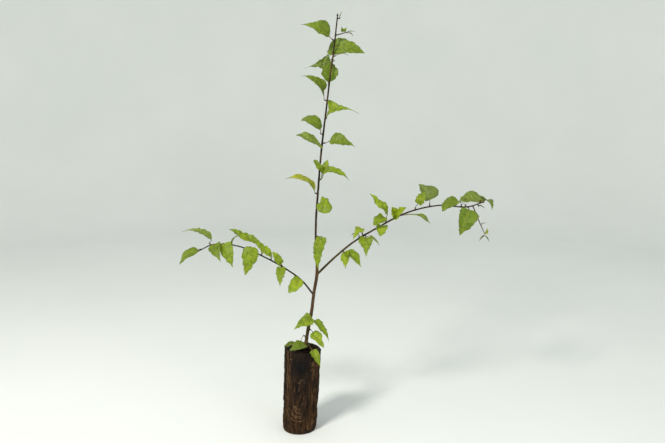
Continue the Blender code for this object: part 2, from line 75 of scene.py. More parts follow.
# ---------------------------------------------------------------- limbs
# Each knot is x, y, z and the limb's radius there.
MAIN_STEM = (
    (10.0, 0.0, 125.3, 3.9),
    (10.9, 0.0, 133.0, 2.8),
    (14.0, -0.5, 153.5, 2.5),
    (19.4, -1.0, 182.5, 2.4),
    (22.6, -1.0, 208.0, 2.3),
    (27.2, 0.0, 237.0, 2.3),
    (25.6, 1.0, 277.0, 1.6),
    (26.1, 1.0, 315.0, 1.5),
    (28.8, 0.0, 352.0, 1.45),
    (34.1, -1.0, 414.0, 1.35),
    (41.2, -1.0, 472.0, 1.2),
    (47.2, 0.0, 521.0, 1.1),
    (51.6, 0.0, 552.0, 1.0),
    (56.2, 1.0, 594.0, 0.85),
)
LEFT_BOUGH = (
    (21.8, 0.0, 205.5, 1.35),
    (5.2, -2.0, 227.0, 1.2),
    (-19.9, -5.0, 246.5, 1.1),
    (-54.9, -9.0, 266.8, 1.0),
    (-81.4, -11.0, 278.6, 0.95),
    (-107.3, -12.0, 282.4, 0.9),
    (-120.7, -12.5, 281.5, 0.85),
    (-138.2, -13.0, 273.5, 0.7),
)
RIGHT_BOUGH = (
    (27.2, 0.0, 235.5, 1.75),
    (53.2, 3.0, 260.3, 1.45),
    (80.7, 6.0, 282.5, 1.35),
    (112.7, 9.0, 301.3, 1.25),
    (153.3, 12.0, 322.4, 1.15),
    (203.6, 14.0, 334.1, 1.0),
    (248.0, 15.0, 332.5, 0.9),
    (264.7, 15.0, 338.0, 0.75),
)
# the middle of the ball's top, under the stem
TOP_MIDDLE = np.array((MAIN_STEM[0][0], 0.0, BALL_HEIGHT))
ROUTE_STEPS = 24       # curve points between two knots
BARK_SPACING = 0.8     # distance between the rings of a limb
BARK_STRETCH = np.array((0.086, 0.071, 0.089))    # the wrinkles' drift for each mm of limb
WRINKLE_PITCHES = (1.9, 0.8)
NODE_SWELLING = 0.42   # how far a limb swells where it bears a spray, and over what length
NODE_REACH = 1.8
PORES_PER_MM = 0.5
PORE_HEIGHT = 0.16
PORE_LENGTH = 0.42
PORE_WIDTH = 0.32
PORE_CUT = 2.0         # farther off than this, a pore isn't felt
BUD_RADIUS = 1.3       # the bud at a limb's tip
BUD_LENGTH = 4.4
BUD_RINGS = 22
BUD_SHARES = (0.0, 0.25, 0.55, 0.85, 1.0)
BUD_WIDTHS = (0.0, 1.0, 0.85, 0.45, 0.08)
BUD_SCALES = 3.2
BUD_SCALE_RELIEF = 0.14

# ---------------------------------------------------------------- leaves
SPUR_LENGTH = 3.2
SPUR_RADIUS = 0.9
GAP = 0.3              # the solids stand this far off their limbs; here spurs grow out of them
STALK_RADIUS = 0.45
BLADE_THICKNESS = 0.32
BASE_SHAPE = 0.40      # lower is a broader leaf base
TIP_SHAPE = 1.35       # higher is a longer drawn-out tip
BASE_LOBE = 0.09       # how far the two base lobes reach back, of the length
RIPPLE = 0.9           # height of the waves along a leaf's edges
CRUMPLE = 0.55         # height of the random dents over a blade
CRUMPLE_PITCH = 8.0
RAGGED = 1.1           # how far the outline itself wanders in and out
RAGGED_PITCH = 5.5
WAVES = 1.6            # waves along an edge, from foot to tip
TEETH = 17             # teeth on each edge of a leaf that is at least this long
TOOTHED_LENGTH = 34.0
TOOTH = 1.2            # depth of a tooth
STEPS_PER_TOOTH = 4
BLADE_COLUMNS = 20     # steps across a blade
SMALL_BLADE = 8        # a blade no wider than this has fewer
SMALL_BLADE_COLUMNS = 8
VEINS = 8              # side veins on each half
VEIN_DEPTH = 0.16
VEIN_WIDTH = 0.13      # of the distance between two
VEIN_SLANT = 0.16      # how far a vein climbs to the edge, of what is left of the leaf
MIDRIB_WIDTH = 0.7
QUILT = 0.32           # how far the blade swells up between two side veins
STALK_STEPS = 14
RIB_STEPS = 22
STALK_REFERENCE = np.array((0.12, 0.0, 0.07))    # turns the stalk's first side off the blade
SPUR_FOOT = -0.35      # how far down in the limb a spur starts, of its length
TWIG_BOW = 0.25        # how far a twig bows off its straight line, of its length
STALK_SET_BACK = 1.5   # on a twig, a stalk leaves at least this far short of the end
SIDE_BUD = (2.4, 0.62)    # length and radius
STEM_BUD = (4.0, 0.5)

# petiole: from the limb's axis to the foot of the blade. midrib: from there to
# the leaf's tip. face: roughly where the upper side looks. width: the widest
# place. arch: how high the midrib bows. fold: degrees each half is folded up.
# tone: its colour, lighter or darker for how lit the leaf is, so painted light and shade. form: the shape
# of its base, lower is broader, and of its tip,
# higher is longer drawn out. wave: how strongly it ripples and dents. lean: the
# share by which its right half is wider. sway: how far its middle bows to the right.
Leaf = namedtuple("Leaf", "petiole midrib face width arch fold tone form wave lean sway",
                  defaults=((BASE_SHAPE, TIP_SHAPE), 1.0, 0.0, 0.0))
# at: height on the main stem, or reach along X on a bough. twig: from the limb's
# axis to the end of the twig that carries the leaves, or None for a short spur.
Spray = namedtuple("Spray", "at leaves twig", defaults=(None,))


def lone(at, *leaf, **shape):
    """A short spur with one leaf."""
    return Spray(at, (Leaf(*leaf, **shape),))


FOOT_SPRAYS = (
    lone(175, (1, -6, -2), (-26, -9, -16), (-3, -8, 5), 20, 3, 12, "bright", (0.4, 1.6), lean=-0.1),
    lone(168, (7, -5, 0), (21, -3, -31), (4, -6, 5), 12, 3, 15, "bright", (0.5, 1.5), sway=-1.5),
    lone(154, (7, -7, -3), (16, -5, -22), (2, -8, 4), 15, 3, 12, "lime", (0.4, 1.1)),
    lone(142, (-14, 3, -13), (-20, -4, -2), (-1, -3, 8), 11, 2, 10, "deep", (0.5, 0.8)),
    lone(140, (-2, -12, -6), (-21, -16, -4), (-2, -6, 8), 18, 4, 14, "mid", (0.45, 1.0), lean=-0.15),
    lone(133, (10, -22, -4), (11, -13, -20), (3, -7, 4), 13, 3, 14, "bright", (0.35, 1.2)),
)
LEADER_SPRAYS = (
    lone(291, (9, -6, 0), (-5, -6, -47), (-2, -9, 1), 18, 2, 18, "bright", (0.3, 1.2), lean=-0.1, sway=3.5),
    lone(335, (5, -6, 6), (15, -20, -9), (-4, -7, 3), 22, 3, 12, "bright", (0.4, 0.45), wave=1.8),
    lone(353, (-5, -2, 5), (-41, -5, 16), (2, -4, 9), 18, 11, 12, "yellow", (0.7, 1.5), wave=1.4),
    Spray(373, (
        Leaf((6, -6, 9), (-13, -6, 19), (3, -7, 4), 9, 2, 12, "bright", (0.9, 0.7)),
        Leaf((5, -6, 9), (38, -6, -10), (0, -5, 8), 17, 10, 16, "bright", (0.5, 1.5), wave=1.6),
        Leaf((6, -5, 9), (7, 2, 19), (-3, -8, 2), 10, 1, 10, "bright", (0.4, 0.8)),
    )),
    lone(415, (1, -6, 1), (-36, -6, 19), (1, -5, 8), 19, 4, 18, "dull", (1.2, 1.0), wave=1.4, lean=0.1),
    lone(424, (11, -3, 3), (35, -7, -8), (0, -8, 6), 21, 6, 12, "mid", (0.6, 1.7), wave=1.4, lean=-0.1),
    lone(436, (-4, 2, 7), (-27, 10, 12), (-1, -6, 9), 20, 9, 10, "mid", (0.45, 0.6)),
    lone(458, (5, -6, 10), (42, -4, -4), (0, -8, 6), 27, 9, 14, "bright", (0.17, 3.0), wave=1.5),
    lone(482, (-5, -2, 13), (-31, -7, 20), (5, -7, 8), 29, 8, 15, "mid", (0.35, 1.8), lean=-0.3),
    lone(503, (-1, 5, 4), (4, 2, 29), (1, -9, 1), 24, 1, 8, "mid", (1.3, 1.5), wave=1.3),
    lone(537, (-3, 14, 1), (-36, 1, -11), (-1, -9, 1), 26, 0, 8, "deep", (0.2, 2.6), wave=1.6, lean=-0.35),
    lone(542, (8, -6, 2), (13, -2, -2), (0, -3, 9), 3, 2, 5, "olive"),
    lone(546, (-7, 15, 5), (50, -12, -5), (0, -9, 5), 26, 10, 3, "mid", (0.4, 0.95), lean=-0.1),
    lone(563, (-8, -2, 5), (-38, -5, 15), (0, -7, 6), 25, 5, 16, "mid", (0.9, 2.1), lean=0.25),
    Spray(570, (
        Leaf((14, -3, 3), (13, -2, 1), (0, -2, 9), 3, 1, 5, "olive"),
        Leaf((15, -4, 2), (9, -7, -5), (2, -3, 8), 4, 2, 5, "olive"),
        Leaf((10, -3, 4), (-2, -4, 6), (0, -9, 2), 5, 1, 5, "mid"),
        Leaf((12, -3, 4), (3, 4, 6), (0, -9, 2), 4, 1, 5, "mid"),
    ), (14, -3, 3)),
    lone(592, (3, 0, 2), (4, 0, 7), (0, -9, 2), 1.4, 1, 0, "olive"),
)
LEFT_SPRAYS = (
    lone(0, (3, -5, -1), (-15, -19, -16), (4, -6, 7), 18, 4, 12, "lime", (0.5, 0.75)),
    lone(-21, (-2, -5, 1), (-1, -18, -24), (-1, -6, 5), 15, 3, 12, "bright"),
    lone(-24, (0, -3, 3), (-11, -9, 20), (4, -8, 4), 12, 2, 10, "lime", (0.5, 0.8)),
    lone(-39, (2, -4, 7), (-22, -10, 21), (6, -6, 7), 15, 0, 12, "lime", (0.6, 0.8)),
    lone(-52, (3, -2, 15), (-48, 3, 23), (3, -6, 8), 14, 0, 16, "bright", (1.1, 1.1), wave=1.7),
    lone(-66, (-1, -6, 7), (-7, -4, -41), (-2, -9, 1), 25, 2, 14, "bright", (0.3, 1.1), wave=1.5,
         lean=-0.35),
    lone(-93, (0, 0, 3), (18, 8, 9), (-5, -1, 7), 8, 5, 8, "dull"),
    lone(-105, (2, -5, 2), (14, -14, -32), (1, -8, 3), 20, 4, 12, "bright"),
    lone(-118, (2, -5, 1), (12, -24, -20), (-2, -6, 5), 19, 4, 12, "mid"),
    lone(-123, (1, 1, 8), (-41, 1, 11), (3, -4, 8), 14, 9, 15, "dull", (0.7, 2.1)),
    lone(-136, (-4, -5, 1), (-24, -11, -19), (-5, -6, 6), 20, 4, 12, "mid", (0.5, 1.1), lean=-0.1),
)
RIGHT_SPRAYS = (
    Spray(64, (
        Leaf((3, -5, -1), (0, -20, -20), (-7, -5, 3), 20, -2, 15, "lime", sway=-2.0),
        Leaf((5, -5, -1), (21, -19, -18), (5, -7, 6), 21, 4, 14, "bright"),
    )),
    Spray(96, (
        Leaf((1, -5, -3), (0, -22, -24), (0, -7, 5), 19, 3, 12, "bright", wave=1.4),
        Leaf((8, -2, -1), (13, -11, -12), (5, -3, 7), 7, 1, 10, "dull"),
    )),
    lone(94, (-2, 1, 10), (-13, -12, -14), (-5, -8, 3), 13, 4, 14, "lime"),
    lone(89, (-2, 5, 4), (-10, 9, -3), (-3, -2, 8), 7, 2, 10, "mid"),
    lone(119, (4, -5, 1), (-6, -22, -11), (-1, -5, 7), 16, 4, 12, "lime", (0.4, 0.6), wave=1.3),
    Spray(127, (
        Leaf((1, -2, 14), (-26, -5, 29), (6, -6, 4), 15, 3, 18, "lime", (0.6, 1.1), wave=2.2, sway=-1.5),
        Leaf((-4, -5, 9), (-16, -18, -9), (2, -5, 7), 16, 3, 12, "bright", (0.4, 0.7)),
    )),
    Spray(133, (
        Leaf((7, -4, 4), (13, -20, 18), (-4, -6, 4), 14, 3, 14, "lime", (0.5, 0.8)),
        Leaf((7, -4, 4), (-6, -8, 17), (3, -8, 3), 12, 2, 12, "lime", (0.5, 0.7)),
    )),
    lone(149, (4, -8, 1), (36, -4, -12), (0, -2, 9), 13, 6, 14, "dull", (2.6, 1.0)),
    lone(169, (3, -5, 10), (10, -3, 17), (-2, -9, 3), 14, 2, 12, "bright", (0.4, 0.8)),
    lone(190, (0, 5, 9), (-14, 20, 21), (1, -9, 5), 27, 5, 12, "grey", (0.35, 1.3), wave=1.5, lean=0.25),
    lone(235, (-5, -3, 9), (-25, -14, -13), (-3, -7, 6), 19, 5, 12, "mid", (0.5, 0.8), wave=1.4, lean=0.1),
    lone(242, (-7, 7, 9), (41, 16, -1), (0, -7, 7), 22, 4, 12, "dull", (0.9, 0.9), wave=2.0),
    lone(245, (0, -6, -3), (-13, -5, -37), (0, -9, 2), 28, 2, 12, "mid", (0.35, 1.1), lean=-0.15),
    lone(259, (2, 0, -2), (8, -3, -4), (2, -3, 8), 4, 1, 5, "grey"),
    lone(263, (4, 0, 4), (7, -25, -11), (4, -4, 8), 16, 6, 14, "grey"),
)
HANGING_SPRAYS = (
    Spray(252, (
        Leaf((18, -5, -43), (6, -3, -9), (5, -4, 5), 3, 1, 5, "olive"),
        Leaf((17, -4, -43), (-6, 4, -9), (-5, -4, 5), 3, 1, 5, "olive"),
        Leaf((18, -6, -40), (2, -4, 9), (4, -8, 2), 7, 1, 10, "yellow"),
        Leaf((12, -4, -27), (7, -3, 3), (0, -2, 9), 2, 1, 0, "olive"),
    ), (18, -4, -41)),
)

# Heights of a row of buds on the leader, the side that they stand on and how far
# they rise or fall. They belong to the spray beside them.
STEM_BUDS = (528.5, 531.5, 534.0, 537.5, 541.0)
STEM_BUD_SIDE = np.array((0.9, -0.44, 0.0))
STEM_BUD_LIFT = np.array((0.0, 0.0, 0.6))
STEM_BUD_NODE = "leader_spray_12"


# ---------------------------------------------------------------- colours
def paint(red, green, blue):
    """A screen colour, 0 to 255, as the linear colour that a shader takes."""
    shares = np.array((red, green, blue)) / 255.0
    linear = np.where(shares <= 0.04045, shares / 12.92, ((shares + 0.055) / 1.055) ** 2.4)
    return (*linear.tolist(), 1.0)


# tone: ground colour, lighter patches, and on a leaf its veins. The tones paint light
# and shade on one leaf green: lime and bright for leaves in full light, mid for half
# light, deep, dull and grey for leaves in shade; lime is also the fresh green of young
# leaves. yellow is a yellowing leaf, and olive the smallest leaves.
LEAF_TONES = {
    "lime": (paint(116, 136, 18), paint(144, 158, 27), paint(157, 165, 50)),
    "bright": (paint(95, 115, 12), paint(127, 142, 18), paint(141, 150, 41)),
    "mid": (paint(83, 102, 15), paint(110, 126, 22), paint(128, 138, 42)),
    "deep": (paint(74, 90, 17), paint(98, 112, 24), paint(117, 128, 40)),
    "dull": (paint(98, 113, 41), paint(123, 134, 53), paint(142, 150, 74)),
    "grey": (paint(86, 101, 36), paint(109, 120, 51), paint(128, 136, 72)),
    "yellow": (paint(126, 132, 31), paint(159, 158, 45), paint(172, 168, 72)),
    "olive": (paint(67, 71, 27), paint(86, 90, 37), paint(106, 108, 56)),
}
ROOT_TONES = {
    "dark": (paint(17, 13, 10), paint(46, 32, 21)),
    "brown": (paint(44, 30, 18), paint(88, 60, 35)),
    "golden": (paint(66, 43, 21), paint(112, 77, 40)),
    "tan": (paint(104, 78, 50), paint(146, 114, 76)),
    "pale": (paint(150, 126, 92), paint(186, 160, 124)),
}


# ---------------------------------------------------------------- shaping
def unit(vectors):
    """Vectors cut to length 1, along the last axis."""
    return vectors / np.linalg.norm(vectors, axis=-1, keepdims=True)


def ripples(points, pitch, seed, count=16):
    """Smooth lumps of about -1 to 1: the sum of sine waves that run in random
    directions, with crests about pitch apart, over the root of their number."""
    chance = np.random.default_rng(seed)
    directions = unit(chance.normal(size=(count, 3)))
    lengths = pitch * chance.uniform(0.6, 1.6, count)
    phases = chance.uniform(0.0, FULL_TURN, count)
    waves = np.sin(FULL_TURN * (points @ (directions / lengths[:, None]).T) + phases)
    return waves.sum(-1) * math.sqrt(0.5 / count)


def even_turns(sides):
    """The angles of a ring's points: equal steps round a full turn."""
    return np.arange(sides) * FULL_TURN / sides


def cubic(share, span, first, first_slope, last, last_slope):
    """Points at shares of the cubic with these ends and slopes, span long."""
    square, cube = share ** 2, share ** 3
    return ((2 * cube - 3 * square + 1) * first + (cube - 2 * square + share) * span * first_slope
            + (3 * square - 2 * cube) * last + (cube - square) * span * last_slope)


def spokes_round(turn, front, across):
    """At each station, unit vectors at these angles from front towards across."""
    return (np.cos(turn)[:, None] * front[..., None, :]
            + np.sin(turn)[:, None] * across[..., None, :])


def wrap_tubes(rings):
    """Points and faces of closed tubes from an array of tube, station, side, xyz.

    Each quad joins a side to the next side and the next station, and each end is
    closed by one face.
    """
    tubes, stations, sides = rings.shape[:3]
    index = np.arange(tubes * stations * sides).reshape(tubes, stations, sides)
    following = np.roll(index, -1, axis=2)
    quads = np.stack((index[:, :-1], following[:, :-1], following[:, 1:], index[:, 1:]), axis=-1)
    faces = quads.reshape(-1, 4).tolist()
    faces += index[:, 0, ::-1].tolist()
    faces += index[:, -1].tolist()
    return rings.reshape(-1, 3), faces


def tube_rings(paths, radii, reference, sides):
    """Rings of round tubes along paths.

    At each station a circle stands square to the path: its first point lies
    towards the reference direction, made square to the path.
    """
    tangents = unit(np.gradient(paths, axis=1))
    front = reference - (reference * tangents).sum(-1, keepdims=True) * tangents
    front = unit(front)
    circle = spokes_round(even_turns(sides), front, np.cross(tangents, front))
    return paths[:, :, None, :] + radii[:, :, None, None] * circle


MARKS = ("vein", "rim")    # what is marked on a blade's points, for its surface


class Heap:
    """Meshes of one kind, gathered until they are joined into one piece."""

    def __init__(self):
        self.points = []
        self.faces = []
        self.marks = []
        self.nodes = set()
        self.size = 0

    def add(self, points, faces, nodes, marks=None):
        """Puts in a mesh that stands for these nodes, with marks on its points."""
        self.points.append(points)
        self.faces += [[corner + self.size for corner in face] for face in faces]
        self.marks.append(np.zeros((len(points), 2)) if marks is None else marks)
        self.nodes.update(nodes)
        self.size += len(points)


def put_in_scene(name, data):
    """A new object at the origin, linked to the scene."""
    thing = bpy.data.objects.new(name, data)
    bpy.context.scene.collection.objects.link(thing)
    return thing


def make_piece(name, heap, surface, sharp=50.0):
    """The heap's meshes as one object in metres, riding on the plant. Edges sharper
    than the given degrees stay crisp."""
    mesh = bpy.data.meshes.new(name)
    mesh.from_pydata((np.concatenate(heap.points) * MM).tolist(), [], heap.faces)
    marks = np.concatenate(heap.marks).astype(np.float32)
    for column, title in enumerate(MARKS):
        attribute = mesh.attributes.new(title, "FLOAT", "POINT")
        attribute.data.foreach_set("value", np.ascontiguousarray(marks[:, column]))
    mesh.shade_smooth()
    mesh.set_sharp_from_angle(angle=math.radians(sharp))
    mesh.materials.append(surface)
    piece = put_in_scene(name, mesh)
    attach(piece, PLANT)
    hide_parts(*sorted(heap.nodes))


# ---------------------------------------------------------------- limbs
def smooth_route(knots):
    """A dense curve through the knots, each row x, y, z, radius and length so far.

    Between two knots it is a cubic whose slope at a knot is the slope from the
    knot before to the knot after.
    """
    knots = np.array(knots, float)
    spans = np.linalg.norm(np.diff(knots[:, :3], axis=0), axis=1)
    stations = np.concatenate(([0.0], np.cumsum(spans)))
    slopes = np.gradient(knots, stations, axis=0)
    share = np.linspace(0.0, 1.0, ROUTE_STEPS, endpoint=False)[:, None]
    rows = [cubic(share, span, knots[index], slopes[index], knots[index + 1], slopes[index + 1])
            for index, span in enumerate(spans)]
    route = np.concatenate(rows + [knots[-1:]])
    steps = np.linalg.norm(np.diff(route[:, :3], axis=0), axis=1)
    return np.column_stack((route, np.concatenate(([0.0], np.cumsum(steps)))))


def length_at(route, axis, at):
    """The length along a route where its height or reach is at."""
    order = np.argsort(route[:, axis])
    return np.interp(at, route[order, axis], route[order, 4])


def station_on(route, lengths):
    """Places, directions and radii at the given lengths along a route."""
    def along(lengths, columns):
        """The route's first columns at these lengths."""
        return np.column_stack([np.interp(lengths, route[:, 4], route[:, axis])
                                for axis in range(columns)])

    stations = along(lengths, 4)
    directions = unit(along(lengths + 1.0, 3) - along(lengths - 1.0, 3))
    return stations[:, :3], directions, stations[:, 3]


def bark_rings(route, sides, joints, wrinkle, seed):
    """Rings of a limb with bark, swollen nodes and a scaly bud at its tip.

    Radius = the limb's own taper + a swelling at each node, stronger on the side
    of its spur + long wrinkles (lumps stretched along the limb) + small raised
    pores. The bud swells to its own radius and closes, with overlapping scales as
    a saw wave that winds round it.
    """
    end = route[-1, 4]
    bark_lengths = np.arange(0.0, end, BARK_SPACING)
    bud_share = np.linspace(0.0, 1.0, BUD_RINGS + 1)[1:]
    lengths = np.concatenate((bark_lengths, end + BUD_LENGTH * bud_share))
    places, directions, radii = station_on(route, np.minimum(lengths, end))
    past = np.maximum(lengths - end, 0.0)
    places = places + past[:, None] * directions
    front = unit(np.cross(directions, np.cross(directions, (0.0, 1.0, 0.0))))
    turn = even_turns(sides)
    spokes = spokes_round(turn, front, np.cross(directions, front))
    flat = spokes * radii[:, None, None] + lengths[:, None, None] * BARK_STRETCH
    coarse, fine = (ripples(flat, pitch, seed + step) for step, pitch in enumerate(WRINKLE_PITCHES))
    relief = wrinkle * (0.6 * coarse + 0.4 * fine)
    for length, outward in joints:
        near = np.exp(-((lengths - length) / NODE_REACH) ** 2)
        facing = 0.5 + 0.5 * (spokes @ outward)
        relief = relief + NODE_SWELLING * near[:, None] * facing
    chance = np.random.default_rng(seed + 2)
    pores = int(len(bark_lengths) * BARK_SPACING * PORES_PER_MM)
    for length, angle in zip(chance.uniform(0.0, end, pores), chance.uniform(0.0, FULL_TURN, pores)):
        rows = np.abs(lengths - length) < PORE_CUT
        aside = np.angle(np.exp(1j * (turn - angle)))[None, :] * radii[rows, None] / PORE_WIDTH
        relief[rows] += PORE_HEIGHT * np.exp(
            -((lengths[rows, None] - length) / PORE_LENGTH) ** 2 - aside ** 2)
    bud = BUD_RADIUS * np.interp(past / BUD_LENGTH, BUD_SHARES, BUD_WIDTHS)
    tip = np.minimum(1.0, past / (BUD_SHARES[1] * BUD_LENGTH))
    smooth = np.where(past > 0.0, (1 - tip) * radii + tip * bud, radii)
    scales = np.mod(BUD_SCALES * past[:, None] / BUD_LENGTH + turn[None, :] / math.pi, 1.0)
    relief = np.where(past[:, None] > 0.0, BUD_SCALE_RELIEF * smooth[:, None] * (scales - 0.5),
                      relief)
    radius = smooth[:, None] + relief
    return places[:, None, :] + radius[:, :, None] * spokes


# ---------------------------------------------------------------- leaves
def blade_half_width(share, width, form):
    """Half the leaf's width at a share of its length: share to the base power
    times what is left of it to the tip power, scaled to the full width."""
    base, tip = form
    widest = base / (base + tip)
    swell = (share / widest) ** base * ((1 - share) / (1 - widest)) ** tip
    return np.maximum(0.5 * width * swell, STALK_RADIUS * (1.0 - 0.75 * share))


def midrib_line(leaf, foot, share):
    """The midrib and the blade's own directions at shares of the leaf's length.

    The midrib is a straight line from foot to tip, bowed up by 4 arch s (1 - s)
    and to the right by 4 sway s (1 - s).
    """
    chord = np.array(leaf.midrib, float)
    along = unit(chord)
    upward = np.array(leaf.face, float)
    upward = unit(upward - upward @ along * along)
    side = np.cross(along, upward)
    share = share[:, None]
    bow = 4.0 * share * (1.0 - share)
    centre = foot + chord * share + (upward * leaf.arch + side * leaf.sway) * bow
    slope = 4.0 * leaf.arch * (1.0 - 2.0 * share) / np.linalg.norm(chord)
    return centre, along, side, unit(upward - slope * along)


def blade_mesh(leaf, foot, ripple):
    """Points, faces and marks of one thin toothed blade.

    Across the leaf, s runs from -1 to 1, and t along it from 0 to 1. A point lies s
    times the half width out from the midrib. It is lifted by the fold, by the
    edge's wave times s squared, by random dents and by the quilting between side
    veins, and lowered in the veins. Teeth are a saw wave along the edge that fades
    inwards as s to the fifth power. The outline wanders in and out by slower waves,
    and the base lobes reach back. The same sheet lies half the thickness above and
    half below, joined round the rim.
    """
    length = np.linalg.norm(leaf.midrib)
    teeth = max(3, round(TEETH * min(1.0, length / TOOTHED_LENGTH)))
    columns = BLADE_COLUMNS if leaf.width > SMALL_BLADE else SMALL_BLADE_COLUMNS
    share = np.linspace(0.0, 1.0, teeth * STEPS_PER_TOOTH + 1)
    even = np.linspace(-1.0, 1.0, columns + 1)
    s = (0.5 * np.sin(0.5 * math.pi * even) + 0.5 * even)[None, :]
    aside = np.abs(s)
    off_midrib = np.minimum(1.0, aside * 4.0)
    centre, along, side, rise = midrib_line(leaf, foot, share)
    t = share[:, None]
    half = blade_half_width(t, leaf.width, leaf.form) * (1.0 + leaf.lean * np.sign(s))
    small = np.minimum(1.0, half / 5.0)
    saw = np.mod(t * teeth, 1.0) - 0.45
    uneven = 0.8 + 0.35 * np.sin(5.0 * t * teeth + 9.0 * ripple[0])
    tooth = TOOTH * saw * uneven * small * aside ** 5
    seed = int(1e6 * ripple[0])
    down, level = length * t + 0.0 * s, 0.0 * s * t
    flat = np.stack((down, half * s, level), axis=-1)
    edge_line = np.stack((down, 9.0 * np.sign(s) + 0.0 * t, level), axis=-1)
    ragged = RAGGED * ripples(edge_line, RAGGED_PITCH, seed) * small * aside ** 2
    out = s * half + np.sign(s) * (tooth + ragged)
    dents = leaf.wave * CRUMPLE * small * ripples(flat, CRUMPLE_PITCH, seed + 1)
    fold = math.radians(leaf.fold)
    phase = np.where(s < 0.0, ripple[0], ripple[1])
    wave = (leaf.wave * RIPPLE * np.sin(FULL_TURN * (WAVES * t + phase))
            * np.minimum(1.0, half / 6.0))
    vein = (t - VEIN_SLANT * aside * (1.0 - t)) * VEINS
    inside = (np.sin(math.pi * t) ** 0.5) * np.minimum(1.0, half / 4.0)
    crease = np.exp(-((vein - np.round(vein)) / VEIN_WIDTH) ** 2) * inside
    quilt = np.abs(np.sin(math.pi * vein)) ** 0.8 * inside * (1.0 - aside ** 3)
    trough = np.exp(-(s * half / MIDRIB_WIDTH) ** 2)
    lift = (aside ** 1.25 * half * math.sin(fold) + wave * s ** 2
            + dents * np.minimum(1.0, 4.0 * t) + QUILT * quilt * off_midrib
            - VEIN_DEPTH * (crease * off_midrib + trough))
    back = length * BASE_LOBE * np.sin(math.pi * t) ** 0.5 * (1 - t) ** 4 * aside
    sheet = (centre[:, None, :]
             + (out * math.cos(fold))[..., None] * side
             + lift[..., None] * rise[:, None, :]
             - (back - 0.5 * tooth)[..., None] * along)
    thick = 0.5 * BLADE_THICKNESS * rise[:, None, :]
    points = np.concatenate(((sheet + thick).reshape(-1, 3), (sheet - thick).reshape(-1, 3)))
    index = np.arange(sheet.shape[0] * sheet.shape[1]).reshape(sheet.shape[:2])
    top = np.stack((index[:-1, :-1], index[:-1, 1:], index[1:, 1:], index[1:, :-1]), -1)
    below = top[..., ::-1] + index.size
    rim = np.concatenate((index[0, :-1], index[:-1, -1], index[-1, :0:-1], index[:0:-1, 0]))
    after = np.roll(rim, -1)
    wall = np.stack((rim, rim + index.size, after + index.size, after), -1)
    faces = np.concatenate((top.reshape(-1, 4), below.reshape(-1, 4), wall)).tolist()
    veins = np.maximum(trough, 0.75 * crease * (1.0 - 0.4 * aside))
    # rim mark: near the edge or the tip, where painted shade darkens the blade
    edge = np.maximum(aside ** 10, t ** 10) * np.ones_like(out)
    marks = np.tile(np.column_stack((veins.ravel(), edge.ravel())), (2, 1))
    return points, faces, marks


def grow_leaf(leaf, foot, start, heading, ripple, node, heaps):
    """One leaf: its stalk is a cubic from the spur, leaving along heading, that turns
    into the midrib and runs on under the blade as a thinning rib."""
    ribs = np.linspace(0.0, 0.97, RIB_STEPS)
    centre, _, _, rise = midrib_line(leaf, foot, ribs)
    stalk = cubic(np.linspace(0.0, 1.0, STALK_STEPS)[:, None], np.linalg.norm(foot - start),
                  start, heading, foot, unit(centre[1] - centre[0]))
    sink = np.minimum(1.0, ribs / 0.08)[:, None] * (0.5 * BLADE_THICKNESS + VEIN_DEPTH)
    path = np.concatenate((stalk[:-1], centre - sink * rise))
    share = np.linspace(0.0, 1.0, len(stalk) - 1)
    scale = min(1.0, 0.45 + leaf.width / 24.0)
    radii = np.concatenate((
        1.0 + 0.55 * np.exp(-share / 0.07) + 0.25 * np.exp(-(1.0 - share) / 0.12),
        np.interp(ribs, (0.0, 0.1, 1.0), (1.1, 0.85, 0.25)),
    )) * STALK_RADIUS * scale
    rings = tube_rings(path[None], radii[None], STALK_REFERENCE + rise[0], 8)
    heaps["stalk"].add(*wrap_tubes(rings), [node])
    points, faces, marks = blade_mesh(leaf, foot, ripple)
    heaps[leaf.tone].add(points, faces, [node], marks)


def grow_bud(place, heading, length, width, node, heaps):
    """A pointed bud: its radius swells as the sine of share to the 0.6, with
    three rows of scales."""
    share = np.linspace(0.0, 1.0, 12)
    path = place + share[:, None] * length * heading
    scales = 1.0 + 0.12 * (np.mod(share * 3.0, 1.0) - 0.5)
    radii = width * (np.sin(math.pi * share ** 0.6) ** 0.8 * scales + 0.06)
    reference = np.array((0.21, 0.83, 0.51))
    rings = tube_rings(path[None], radii[None], reference, 8)
    heaps["twig"].add(*wrap_tubes(rings), [node])


def spray_root(spray, route, axis):
    """Where a spray stands on its limb: its place, its outward direction, the limb's
    direction and radius there, and the length along the limb."""
    length = length_at(route, axis, spray.at)
    places, directions, radii = station_on(route, np.array([length]))
    outward = np.array(spray.twig, float) if spray.twig else sum(
        unit(np.array(leaf.petiole, float)) for leaf in spray.leaves)
    radial = unit(outward - outward @ directions[0] * directions[0])
    return places[0], radial, directions[0], radii[0], length


